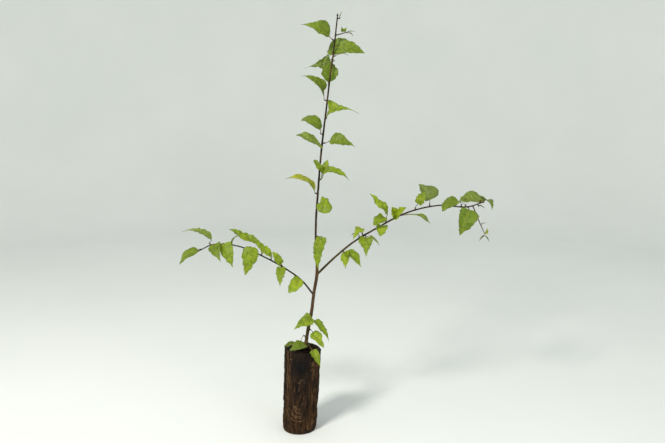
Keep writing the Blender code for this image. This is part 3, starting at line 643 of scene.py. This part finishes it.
def grow_spray(node, spray, route, axis, chance, heaps):
    """The spur or twig of one node, its leaves, and the buds beside their stalks."""
    root, radial, direction, limb_radius, _ = spray_root(spray, route, axis)
    start = root + radial * (limb_radius + GAP)
    if spray.twig is None:
        share = np.linspace(SPUR_FOOT, 1.0, 16)
        path = start + share[:, None] * SPUR_LENGTH * radial
        knobs = 1.0 + 0.1 * np.sin(share * 26.0)
        radii = SPUR_RADIUS * knobs * np.interp(
            share, (SPUR_FOOT, 0.0, 0.3, 0.7, 1.0), (1.25, 0.95, 0.9, 0.8, 0.2))
        grow_bud(start + radial * 0.45 * SPUR_LENGTH, unit(radial + 0.9 * direction),
                 *SIDE_BUD, node, heaps)
    else:
        end = root + np.array(spray.twig, float)
        share = np.linspace(0.0, 1.0, 40)
        bow = radial * np.linalg.norm(end - start) * TWIG_BOW
        path = (start + (end - start) * share[:, None]
                + bow * (share * (1 - share))[:, None])
        path[0] -= 0.6 * radial
        radii = SPUR_RADIUS * (0.95 - 0.45 * share) * (1.0 + 0.07 * np.sin(share * 60.0))
    rings = tube_rings(path[None], radii[None], np.cross(direction, radial), 10)
    heaps["twig"].add(*wrap_tubes(rings), [node])
    for number, leaf in enumerate(spray.leaves):
        ripple = (chance.random(), chance.random())
        foot = root + np.array(leaf.petiole, float)
        sunk = (0.3 + 0.12 * number) * SPUR_LENGTH
        begin, heading = root + radial * (limb_radius + GAP + sunk), radial
        if spray.twig:
            back = unit(root - end)
            begin = end + back * max(STALK_SET_BACK, (foot - end) @ back)
            heading = unit(foot - begin + 0.01 * radial)
        grow_leaf(leaf, foot, begin, heading, ripple, node, heaps)


# ---------------------------------------------------------------- root ball
def ball_side(turn, height, proud):
    """Points on the ball's side: a leaning round column whose radius runs from
    foot to top, with the swelling of its row and three and seven slow lumps round
    it, proud of that by a given distance."""
    share = height / BALL_HEIGHT
    rows, swells = np.array(BALL_SWELL).T
    middle = np.sin(math.pi * np.clip(share, 0.0, 1.0)) ** 0.5
    lumps = BALL_LUMP * middle * (np.sin(3 * turn + 4.0 * share)
                                  + 0.6 * np.sin(7 * turn - 5.0 * share)) / 1.6
    radius = (BALL_FOOT_RADIUS + (BALL_TOP_RADIUS - BALL_FOOT_RADIUS) * share
              + np.interp(height, rows, swells) + lumps + proud)
    drop = BALL_RIM_DROP * np.cos(turn) * np.maximum(0.0, 5.0 * share - 4.0)
    return np.stack((BALL_TOP_SHIFT * share + radius * np.cos(turn),
                     radius * np.sin(turn), height - drop), axis=-1)


def peat_relief(points):
    """How far crumbs and pits stand out: lumps of four sizes, the second one
    stretched over four times in height like matted roots."""
    tall = points * np.array(ROOT_STRETCH)
    return (0.42 * ripples(points, 6.5, 1) + 0.30 * ripples(tall, 2.4, 2)
            + 0.20 * ripples(points, 2.2, 3) + 0.14 * np.abs(ripples(points, 1.1, 4)))


def side_point(turn, height, proud):
    """A point on the rough side, with no relief at the foot's edge."""
    rough = peat_relief(ball_side(turn, height, 0.0))
    calm = np.clip((height - 0.4) / 3.0, 0.0, 1.0)
    return ball_side(turn, height, (rough - 0.25) * calm + proud)


def ball_mesh():
    """Points and faces of the ball: rough side, crumbly top and flat foot."""
    heights = np.concatenate(((0.0, 0.35, 0.9), np.linspace(BALL_EDGE, BALL_HEIGHT, BALL_ROWS)))
    side = side_point(even_turns(BALL_SIDES)[None, :], heights[:, None], 0.0)
    share = (np.arange(1, TOP_ROWS + 1) / (TOP_ROWS + 1.0))[:, None, None]
    top = side[-1] + (TOP_MIDDLE - side[-1]) * share
    crumbs = 1.0 * ripples(top, 7.0, 5) + 0.5 * ripples(top, 2.6, 6) + 0.3 * ripples(top, 1.2, 7)
    top[..., 2] += (crumbs - 0.6) * np.minimum(1.0, 5.0 * share[..., 0])
    return wrap_tubes(np.concatenate((side, top))[None])


# count, length and radius of the roots, where they start (turn in degrees, height,
# and how widely each is spread), their heading in degrees (90 is up) and its
# spread, how far they wander and how far they curl, both in degrees, and colour.
# A root with a positive curl bends either way, one with a negative curl clockwise.
Roots = namedtuple("Roots", "count length radius turn height heading wander curl tone")
WHORL_TURN = -91.0     # the middle of a whorl of roots on the ball's side
WHORL_HEIGHT = 51.0
WHORL_REACHES = (5.0, 8.0, 11.0, 14.0, 17.0, 20.0)
WHORL_ARC = 110.0      # degrees of a circle that each of its roots runs round
WHORL_ROOTS = tuple(
    Roots(2, math.radians(WHORL_ARC) * reach, 0.25,
          (WHORL_TURN + math.degrees(0.5 * reach / BALL_FOOT_RADIUS), 3),
          (WHORL_HEIGHT - 0.87 * reach, 0.5), (-150, 6), 5, -WHORL_ARC, "tan")
    for reach in WHORL_REACHES
)
ROOT_NETS = (
    Roots(280, 46.0, 0.34, (-90, 180), (55, 60), (90, 6), 10, 0, "dark"),
    Roots(120, 40.0, 0.30, (-90, 180), (52, 56), (90, 6), 12, 0, "brown"),
    Roots(90, 14.0, 0.22, (-90, 180), (42, 44), (90, 90), 80, 170, "brown"),
    Roots(34, 7.0, 0.19, (-90, 180), (46, 44), (60, 90), 90, 200, "tan"),
    Roots(120, 2.6, 0.22, (-90, 180), (44, 44), (90, 90), 60, 120, "tan"),
    Roots(5, 5.0, 0.27, (-93, 4), (72, 6), (130, 50), 60, 110, "pale"),
    Roots(2, 4.0, 0.24, (-126, 3), (109, 2), (60, 40), 60, 160, "pale"),
    Roots(46, 6.0, 0.20, (-49, 12), (97, 8), (60, 120), 80, 260, "golden"),
    Roots(20, 5.0, 0.22, (-50, 9), (97, 6), (60, 120), 80, 260, "tan"),
    Roots(12, 22.0, 0.27, (-38, 12), (52, 40), (90, 6), 18, 0, "tan"),
    Roots(30, 30.0, 0.24, (-34, 16), (45, 42), (90, 7), 16, 0, "golden"),
    Roots(8, 36.0, 0.22, (-138, 11), (56, 50), (90, 5), 10, 0, "tan"),
    Roots(26, 40.0, 0.26, (-150, 16), (62, 50), (90, 7), 14, 0, "golden"),
    Roots(50, 18.0, 0.22, (-60, 32), (16, 13), (80, 14), 30, 30, "golden"),
    Roots(8, 12.0, 0.26, (-50, 14), (10, 6), (90, 8), 20, 0, "tan"),
) + WHORL_ROOTS
ROOT_STATIONS = 30
ROOT_SIDES = 6
ROOT_MIDDLE = 0.5 * BALL_HEIGHT    # roots keep within a reach of this height
ROOT_REACH = 59.5
ROOT_SQUEEZE = 1.15    # how gently they are turned back there
ROOT_LIMITS = (1.4, 123.4)
ROOT_SEED = 80
CRUMBS = 420
CRUMB_SEED = 71
CRUMB_TILTS = np.array((0.04, 0.3, 0.5, 0.7, 0.96)) * math.pi
CRUMB_SIDES = 7


def root_mesh(net, seed):
    """Roots over the ball's side.

    The heading starts near the net's own, wanders as two slow sine waves and
    curls evenly from end to end. Turn and height are running sums of its cosine
    and sine, and a hyperbolic tangent keeps the height on the ball. Each root dips
    in and out of the peat and thins to its ends.
    """
    chance = np.random.default_rng(seed)

    def spread(centre_and_width):
        """A column of random values, evenly spread about a centre."""
        centre, width = centre_and_width
        return chance.uniform(centre - width, centre + width, (net.count, 1))

    share = np.linspace(0.0, 1.0, ROOT_STATIONS)[None, :]
    length = net.length * chance.uniform(0.55, 1.25, (net.count, 1))
    phase = chance.uniform(0.0, FULL_TURN, (net.count, 2))
    hand = np.sign(chance.uniform(-1.0, 1.0, (net.count, 1))) if net.curl > 0 else 1.0
    heading = np.radians(spread(net.heading) + net.curl * hand * share + net.wander * (
        0.6 * np.sin(5.0 * share + phase[:, :1]) + 0.4 * np.sin(13.0 * share + phase[:, 1:])))
    step = length / ROOT_STATIONS
    height = spread(net.height) + np.cumsum(np.sin(heading) * step, axis=1)
    sideways = np.cumsum(np.cos(heading) * step, axis=1) / BALL_FOOT_RADIUS
    turn = np.radians(spread(net.turn)) + sideways
    eased = np.tanh((height - ROOT_MIDDLE) / ROOT_REACH * ROOT_SQUEEZE)
    height = ROOT_MIDDLE + ROOT_REACH * eased / math.tanh(ROOT_SQUEEZE) * 0.995
    height = np.clip(height, *ROOT_LIMITS)
    radius = net.radius * chance.uniform(0.7, 1.2, (net.count, 1))
    radii = radius * np.minimum(1.0, 9.0 * share * (1.0 - share) + 0.25)
    dip = radius * (0.25 + 0.6 * np.sin(7.0 * share + phase[:, 1:]))
    paths = side_point(turn, height, dip)
    outward = np.stack((np.cos(turn), np.sin(turn), np.zeros_like(turn)), axis=-1)
    return wrap_tubes(tube_rings(paths, radii, outward, ROOT_SIDES))


def crumb_mesh():
    """Crumbs of peat on the top and caught in the side: round pebbles of a few
    faces, each squashed and dented by its own lumps."""
    chance = np.random.default_rng(CRUMB_SEED)
    turn = even_turns(CRUMB_SIDES)
    level, upright = np.sin(CRUMB_TILTS)[:, None], np.cos(CRUMB_TILTS)[:, None]
    ball = np.stack((level * np.cos(turn), level * np.sin(turn),
                     upright * np.ones(CRUMB_SIDES)), axis=-1)[::-1]
    size = 0.35 + 1.1 * chance.random((CRUMBS, 1, 1, 1)) ** 2.2
    squash = chance.uniform(0.6, 1.15, (CRUMBS, 1, 1, 3))
    dents = 1.0 + 0.22 * chance.normal(size=(CRUMBS, len(CRUMB_TILTS), CRUMB_SIDES, 1))
    on_top = CRUMBS * 3 // 5
    angle = chance.uniform(0.0, FULL_TURN, CRUMBS)
    high = chance.uniform(4.0, BALL_HEIGHT - 1.0, CRUMBS)
    rim = ball_side(angle, np.full(CRUMBS, BALL_HEIGHT), 0.0)
    inward = chance.random((CRUMBS, 1)) ** 0.8 * 0.85
    places = side_point(angle, high, 0.1)
    places[:on_top] = (rim + (TOP_MIDDLE - rim) * inward)[:on_top] - np.array((0.0, 0.0, 0.1))
    return wrap_tubes(places[:, None, None, :] + size * squash * dents * ball[None])


# ---------------------------------------------------------------- finishes
FLOAT, VECTOR = "NodeSocketFloat", "NodeSocketVector"
# grain: patches and grains to a metre. relief: depth of the bump in metres, and
# its strength.
LEAF_GRAIN, LEAF_RELIEF = (160.0, 1700.0), (0.00025, 0.35)
BARK_GRAIN, BARK_RELIEF = (420.0, 2600.0), (0.0004, 0.55)
EARTH_GRAINS, EARTH_RELIEF = 2200.0, (0.0006, 0.8)
BOARD_GRAIN = (2.0, 60.0)
BARK_STRETCHES = {"X": (0.16, 1.0, 0.5), "Z": (1.0, 1.0, 0.12)}    # along the limb's own axis
LEAF_SHINE = 0.3       # share of the usual shine
DULL = 0.15            # the same for bark, roots and peat
LEAF_GLOW = 0.35       # share of the light that spreads inside a blade, how far and how tinted
LEAF_GLOW_DEPTH = 0.0015
LEAF_GLOW_TINT = (0.7, 1.0, 0.2)
# painted shade: the darker green towards a blade's edge and tip
LEAF_EDGE_SHADE = paint(60, 68, 22)
BARK_CRACKS = paint(38, 26, 20)
DARK_PATCH_COLOUR = paint(15, 13, 13)
# a darker patch: its near-black colour, the place high on the ball's front that it centres on, how far it
# reaches and how much it darkens
DARK_PATCH_PLACE = (0.004, -0.026, 0.104)
DARK_PATCH_REACH = 0.019
DARK_PATCH_SHARE = 0.85
LOWER_PEAT = (0.075, 0.03)    # heights where the lower colours begin and rule


class Wiring:
    """Adds nodes to a shader tree, and fills or links their inputs."""

    def __init__(self, tree):
        self.tree = tree

    def fill(self, node, inputs):
        """Gives each named input its value, or links it from an output."""
        for title, value in inputs.items():
            if isinstance(value, bpy.types.NodeSocket):
                self.tree.links.new(value, node.inputs[title])
            else:
                node.inputs[title].default_value = value

    def add(self, kind, inputs=None, **settings):
        """A new node with these settings and inputs."""
        node = self.tree.nodes.new(kind)
        for title, value in settings.items():
            setattr(node, title, value)
        self.fill(node, inputs or {})
        return node

    def mix(self, share, first, second):
        """A colour between two colours, by a share."""
        node = self.add("ShaderNodeMix", {0: share, 6: first, 7: second}, data_type="RGBA")
        return node.outputs[2]

    def span(self, value, low, high, to_low=0.0, to_high=1.0):
        """A value moved from one range to another and kept inside it."""
        node = self.add("ShaderNodeMapRange", {
            "Value": value, "From Min": low, "From Max": high, "To Min": to_low, "To Max": to_high})
        return node.outputs["Result"]

    def stretch(self, place, scale):
        """Coordinates with their axes scaled, so that a pattern is drawn out."""
        node = self.add("ShaderNodeMapping", {"Vector": place, "Scale": scale})
        return node.outputs["Vector"]

    def grain(self, group, place, patches, grains):
        """What the group of patches and grain gives at these coordinates."""
        return self.add("ShaderNodeGroup", {
            "Vector": place, "Patch Scale": patches, "Grain Scale": grains}, node_tree=group).outputs

    def bump(self, height, depth, strength):
        """A normal tilted by a height of this depth in metres."""
        return self.add("ShaderNodeBump", {
            "Height": height, "Distance": depth, "Strength": strength}).outputs["Normal"]


def grain_group():
    """Patches and fine grain: two noises over the surface, and their sum as height."""
    group = bpy.data.node_groups.new("patches_and_grain", "ShaderNodeTree")
    for title, kind in (("Vector", VECTOR), ("Patch Scale", FLOAT), ("Grain Scale", FLOAT)):
        group.interface.new_socket(name=title, in_out="INPUT", socket_type=kind)
    for title in ("Patches", "Grain", "Height"):
        group.interface.new_socket(name=title, in_out="OUTPUT", socket_type=FLOAT)
    wiring = Wiring(group)
    given, result = wiring.add("NodeGroupInput").outputs, wiring.add("NodeGroupOutput")
    patches, grain = (wiring.add("ShaderNodeTexNoise", {
        "Vector": given["Vector"], "Scale": given[scale], "Detail": detail,
        "Roughness": roughness}).outputs["Fac"]
        for scale, detail, roughness in (("Patch Scale", 3.0, 0.55), ("Grain Scale", 4.0, 0.65)))
    total = wiring.add("ShaderNodeMath", {0: patches, 1: grain}, operation="ADD")
    wiring.fill(result, {"Patches": wiring.span(patches, 0.36, 0.64),
                         "Grain": wiring.span(grain, 0.3, 0.7), "Height": total.outputs[0]})
    return group


def new_surface(name):
    """A material, its wiring, its Principled shader and its Object coordinates."""
    surface = bpy.data.materials.new(name)
    surface.use_nodes = True
    wiring = Wiring(surface.node_tree)
    shader = surface.node_tree.nodes["Principled BSDF"]
    return surface, wiring, shader, wiring.add("ShaderNodeTexCoord").outputs["Object"]


def darker(colour, share):
    """A share of a colour."""
    return (*(share * value for value in colour[:3]), 1.0)


def leaf_surface(name, tone, grain):
    """Young leaf: mottled green, paler veins, painted shade darkening its edge and tip, a soft waxy shine.
    """
    ground, light, vein_colour = tone
    surface, wiring, shader, place = new_surface(name)
    skin = wiring.grain(grain, place, *LEAF_GRAIN)
    vein, rim = (wiring.add("ShaderNodeAttribute", attribute_name=title).outputs["Fac"]
                 for title in MARKS)
    colour = wiring.mix(skin["Patches"], ground, light)
    colour = wiring.mix(wiring.span(skin["Grain"], 0.0, 1.0, 0.0, 0.28), colour, darker(ground, 0.6))
    colour = wiring.mix(wiring.span(vein, 0.15, 1.0, 0.0, 0.5), colour, vein_colour)
    # painted shade: darker towards the edge and the tip, by the rim mark
    colour = wiring.mix(wiring.span(rim, 0.1, 1.0, 0.0, 0.42), colour, LEAF_EDGE_SHADE)
    wiring.fill(shader, {
        "Base Color": colour, "Roughness": wiring.span(skin["Patches"], 0.0, 1.0, 0.44, 0.60),
        "Specular IOR Level": LEAF_SHINE, "Subsurface Weight": LEAF_GLOW,
        "Subsurface Radius": LEAF_GLOW_TINT, "Subsurface Scale": LEAF_GLOW_DEPTH,
        "Normal": wiring.bump(skin["Height"], *LEAF_RELIEF)})
    return surface


def bark_surface(name, grain, axis, stops, streak_colour, streaks):
    """Bark whose colour changes along one axis, with streaks that run with it.

    stops are pairs of a place on the axis in millimetres and a colour.
    """
    surface, wiring, shader, place = new_surface(name)
    split = wiring.add("ShaderNodeSeparateXYZ", {"Vector": place})
    first, last = stops[0][0] * MM, stops[-1][0] * MM
    ramp = wiring.add("ShaderNodeValToRGB", {
        "Fac": wiring.span(split.outputs[axis], first, last)})
    elements = ramp.color_ramp.elements
    while len(elements) < len(stops):
        elements.new(0.5)
    for element, (position, colour) in zip(elements, stops):
        element.position = (position * MM - first) / (last - first)
        element.color = colour
    skin = wiring.grain(grain, wiring.stretch(place, BARK_STRETCHES[axis]), *BARK_GRAIN)
    colour = wiring.mix(wiring.span(skin["Patches"], 0.55, 1.0, 0.0, streaks),
                        ramp.outputs["Color"], streak_colour)
    colour = wiring.mix(wiring.span(skin["Grain"], 0.5, 1.0, 0.0, 0.6), colour, BARK_CRACKS)
    wiring.fill(shader, {
        "Base Color": colour, "Roughness": wiring.span(skin["Grain"], 0.0, 1.0, 0.42, 0.72),
        "Specular IOR Level": DULL, "Normal": wiring.bump(skin["Height"], *BARK_RELIEF)})
    return surface


def earthy_surface(name, grain, ground, light, patches, roughness, lower=None, darkening=0.0):
    """Peat, root or twig: two colours in patches with dark grain. With lower, the
    colours turn to it below the middle of the ball. With darkening, they turn towards
    a near-black peat colour, by up to that share, near one place high on the ball's front."""
    surface, wiring, shader, place = new_surface(name)
    skin = wiring.grain(grain, wiring.stretch(place, ROOT_STRETCH), patches, EARTH_GRAINS)
    colour = wiring.mix(skin["Patches"], ground, light)
    if lower:
        split = wiring.add("ShaderNodeSeparateXYZ", {"Vector": place})
        low = wiring.span(split.outputs["Z"], *LOWER_PEAT)
        colour = wiring.mix(low, colour, wiring.mix(skin["Patches"], *lower))
    colour = wiring.mix(wiring.span(skin["Grain"], 0.35, 1.0, 0.0, 0.55), colour,
                        darker(ground, 0.35))
    # darker towards one place high on the ball's front, by up to the given share
    if darkening:
        away = wiring.add("ShaderNodeVectorMath", {0: place, 1: DARK_PATCH_PLACE}, operation="DISTANCE")
        darkened = wiring.span(away.outputs["Value"], DARK_PATCH_REACH, 0.4 * DARK_PATCH_REACH, 0.0, darkening)
        colour = wiring.mix(darkened, colour, DARK_PATCH_COLOUR)
    wiring.fill(shader, {
        "Base Color": colour, "Roughness": wiring.span(skin["Grain"], 0.0, 1.0, roughness, 0.95),
        "Specular IOR Level": DULL, "Normal": wiring.bump(skin["Height"], *EARTH_RELIEF)})
    return surface


def board_surface(grain):
    """Pale studio board with a very faint mottle."""
    surface, wiring, shader, place = new_surface("pale_studio_board")
    skin = wiring.grain(grain, place, *BOARD_GRAIN)
    wiring.fill(shader, {"Roughness": 0.8, "Base Color": wiring.mix(
        skin["Patches"], paint(232, 235, 230), paint(236, 238, 234))})
    return surface


# ---------------------------------------------------------------- studio
CAMERA_PLACE = (0.0496, -0.90, 0.4586)
CAMERA_DIP = 9.2       # degrees below level
SENSOR_WIDTH = 36.0
LENS = 640.0 / 665.0 * SENSOR_WIDTH    # focal length, a little under the sensor's width
BOARD_RADIUS = 1.75    # of the flat floor; past it the board curves up all round
BOARD_CURVE = 0.75
BOARD_TOP = 1.5
BOARD_SIDES = 96
# name, place, aim, size, power and colour
SOFTBOXES = (
    ("key", (-0.75, -1.05, 1.45), (0.05, 0.0, 0.25), 0.35, 27.0, (1.0, 0.97, 0.9)),
    ("fill", (1.3, -1.2, 0.9), (0.05, 0.0, 0.3), 1.2, 6.0, (0.9, 0.95, 1.0)),
)
SKY_COLOUR = (0.86, 0.90, 0.92, 1.0)
SKY_STRENGTH = 0.65


def build_board(grain):
    """A round floor that curves up all round into a low pale wall: a profile of a
    flat disc, a quarter circle and an upright, spun about the plant."""
    bend = np.linspace(0.0, 0.5 * math.pi, 24)
    reach = np.concatenate(((0.02, 0.6, 1.2), BOARD_RADIUS + BOARD_CURVE * np.sin(bend),
                            (BOARD_RADIUS + BOARD_CURVE,)))
    rise = np.concatenate(((0.0, 0.0, 0.0), BOARD_CURVE * (1.0 - np.cos(bend)), (BOARD_TOP,)))
    turn = even_turns(BOARD_SIDES)
    rings = np.stack((reach[:, None] * np.cos(turn), reach[:, None] * np.sin(turn),
                      rise[:, None] * np.ones(BOARD_SIDES)), axis=-1)
    index = np.arange(rings.shape[0] * BOARD_SIDES).reshape(-1, BOARD_SIDES)
    after = np.roll(index, -1, axis=1)
    quads = np.stack((index[:-1], index[1:], after[1:], after[:-1]), -1).reshape(-1, 4)
    mesh = bpy.data.meshes.new("studio_board")
    mesh.from_pydata(rings.reshape(-1, 3).tolist(), [], quads.tolist() + [index[0].tolist()])
    mesh.shade_smooth()
    mesh.materials.append(board_surface(grain))
    board = put_in_scene("studio_board", mesh)


def build_softbox(name, place, aim, size, power, colour):
    """A square area light that looks at a point."""
    light = bpy.data.lights.new(name, "AREA")
    light.size, light.energy, light.color = size, power, colour
    lamp = put_in_scene(name, light)
    lamp.location = place
    lamp.rotation_euler = (Vector(aim) - Vector(place)).to_track_quat("-Z", "Y").to_euler()


def build_studio(grain):
    """Floor, camera, sun-like key from the upper left, soft fill and pale sky."""
    build_board(grain)
    lens = bpy.data.cameras.new("camera")
    lens.sensor_width, lens.lens = SENSOR_WIDTH, LENS
    camera = put_in_scene("camera", lens)
    camera.location = CAMERA_PLACE
    camera.rotation_euler = (math.radians(90.0 - CAMERA_DIP), 0.0, 0.0)
    bpy.context.scene.camera = camera
    for softbox in SOFTBOXES:
        build_softbox(*softbox)
    world = bpy.data.worlds.new("pale_sky")
    world.use_nodes = True
    Wiring(world.node_tree).fill(world.node_tree.nodes["Background"],
                                 {"Color": SKY_COLOUR, "Strength": SKY_STRENGTH})
    bpy.context.scene.world = world
    bpy.context.scene.view_settings.view_transform = "Standard"


# ---------------------------------------------------------------- the plant
def grow_stem_buds(stem, heaps):
    """Small pointed buds that stand close together on the right of the leader."""
    for height in STEM_BUDS:
        places, _, radii = station_on(stem, np.array([length_at(stem, 2, height)]))
        grow_bud(places[0] + 0.6 * radii[0] * STEM_BUD_SIDE,
                 unit(STEM_BUD_SIDE + STEM_BUD_LIFT * math.cos(height)),
                 *STEM_BUD, STEM_BUD_NODE, heaps)


def joints_on(groups, route):
    """Length and outward direction of every spray that a limb carries."""
    roots = [spray_root(spray, route, axis) for _, sprays, limb, axis in groups
             if limb is route for spray in sprays]
    return [(length, radial) for _, radial, _, _, length in roots]


def build_limbs(stem, left, right, groups, grain):
    """The three limbs in bark."""
    stem_bark = bark_surface("stem_bark", grain, "Z", (
        (125, paint(74, 56, 32)), (200, paint(70, 50, 29)), (245, paint(54, 37, 22)),
        (300, paint(36, 25, 12)), (450, paint(30, 22, 11)), (590, paint(34, 22, 12)),
    ), paint(112, 86, 54), 0.5)
    left_bark = bark_surface("left_bough_bark", grain, "X", (
        (-138, paint(48, 41, 28)), (-60, paint(44, 39, 24)), (22, paint(52, 37, 24)),
    ), paint(88, 78, 50), 0.3)
    right_bark = bark_surface("right_bough_bark", grain, "X", (
        (27, paint(70, 60, 28)), (90, paint(60, 46, 28)), (150, paint(54, 34, 28)),
        (265, paint(50, 30, 29)),
    ), paint(98, 74, 58), 0.3)
    for name, node, route, sides, wrinkle, seed, surface, slot in (
        ("stem_with_bark", "main_stem", stem, 26, 0.16, 11, stem_bark, "bark"),
        ("left_bough_with_bark", "left_bough", left, 18, 0.07, 21, left_bark, "twig_bark"),
        ("right_bough_with_bark", "right_bough", right, 18, 0.08, 31, right_bark, "twig_bark"),
    ):
        heap = Heap()
        rings = bark_rings(route, sides, joints_on(groups, route), wrinkle, seed)
        heap.add(*wrap_tubes(rings[None]), [node])
        make_piece(name, heap, surface)


def build_foliage(stem, groups, grain):
    """Every spray: twigs and buds, stalks, and the blades of each tone."""
    chance = random.Random(SEED)
    heaps = {kind: Heap() for kind in ("twig", "stalk", *LEAF_TONES)}
    for title, sprays, route, axis in groups:
        for number, spray in enumerate(sprays, 1):
            grow_spray(f"{title}_{number:02d}", spray, route, axis, chance, heaps)
    grow_stem_buds(stem, heaps)
    twig_bark = earthy_surface("spur_bark", grain, paint(48, 34, 23), paint(74, 54, 36),
                               400.0, 0.5)
    stalk_skin = earthy_surface("leaf_stalk_skin", grain, paint(96, 94, 40),
                                paint(112, 80, 56), 120.0, 0.42)
    make_piece("spurs_twigs_and_buds", heaps["twig"], twig_bark)
    make_piece("leaf_stalks", heaps["stalk"], stalk_skin)
    for tone, colours in LEAF_TONES.items():
        surface = leaf_surface(f"{tone}_leaf", colours, grain)
        make_piece(f"{tone}_leaves", heaps[tone], surface, 60.0)


def build_ball(grain):
    """Peat, crumbs and five colours of root."""
    moist_peat = earthy_surface("moist_peat", grain, paint(13, 10, 9), paint(52, 37, 25), 340.0,
                                0.75, (paint(18, 13, 10), paint(76, 50, 27)), DARK_PATCH_SHARE)
    loose_peat = earthy_surface("peat_crumb", grain, paint(22, 17, 14), paint(48, 36, 26), 300.0,
                                0.75)
    for name, mesh, surface in (("peat_column", ball_mesh(), moist_peat),
                                ("peat_crumbs", crumb_mesh(), loose_peat)):
        heap = Heap()
        heap.add(*mesh, ["root_ball"])
        make_piece(name, heap, surface, 80.0)
    for tone, (ground, light) in ROOT_TONES.items():
        roots = Heap()
        for number, net in enumerate(ROOT_NETS):
            if net.tone == tone:
                roots.add(*root_mesh(net, ROOT_SEED + number), ["root_ball"])
        make_piece(f"{tone}_roots", roots, earthy_surface(
            f"{tone}_root", grain, ground, light, 180.0, 0.5, None, DARK_PATCH_SHARE))


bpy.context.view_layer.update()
main_route = smooth_route(MAIN_STEM)
left_route = smooth_route(LEFT_BOUGH)
right_route = smooth_route(RIGHT_BOUGH)
SPRAY_GROUPS = (
    ("foot_spray", FOOT_SPRAYS, main_route, 2),
    ("leader_spray", LEADER_SPRAYS, main_route, 2),
    ("left_spray", LEFT_SPRAYS, left_route, 0),
    ("right_spray", RIGHT_SPRAYS, right_route, 0),
    ("hanging_twig", HANGING_SPRAYS, right_route, 0),
)
fine_grain = grain_group()
build_ball(fine_grain)
build_limbs(main_route, left_route, right_route, SPRAY_GROUPS, fine_grain)
build_foliage(main_route, SPRAY_GROUPS, fine_grain)
build_studio(fine_grain)
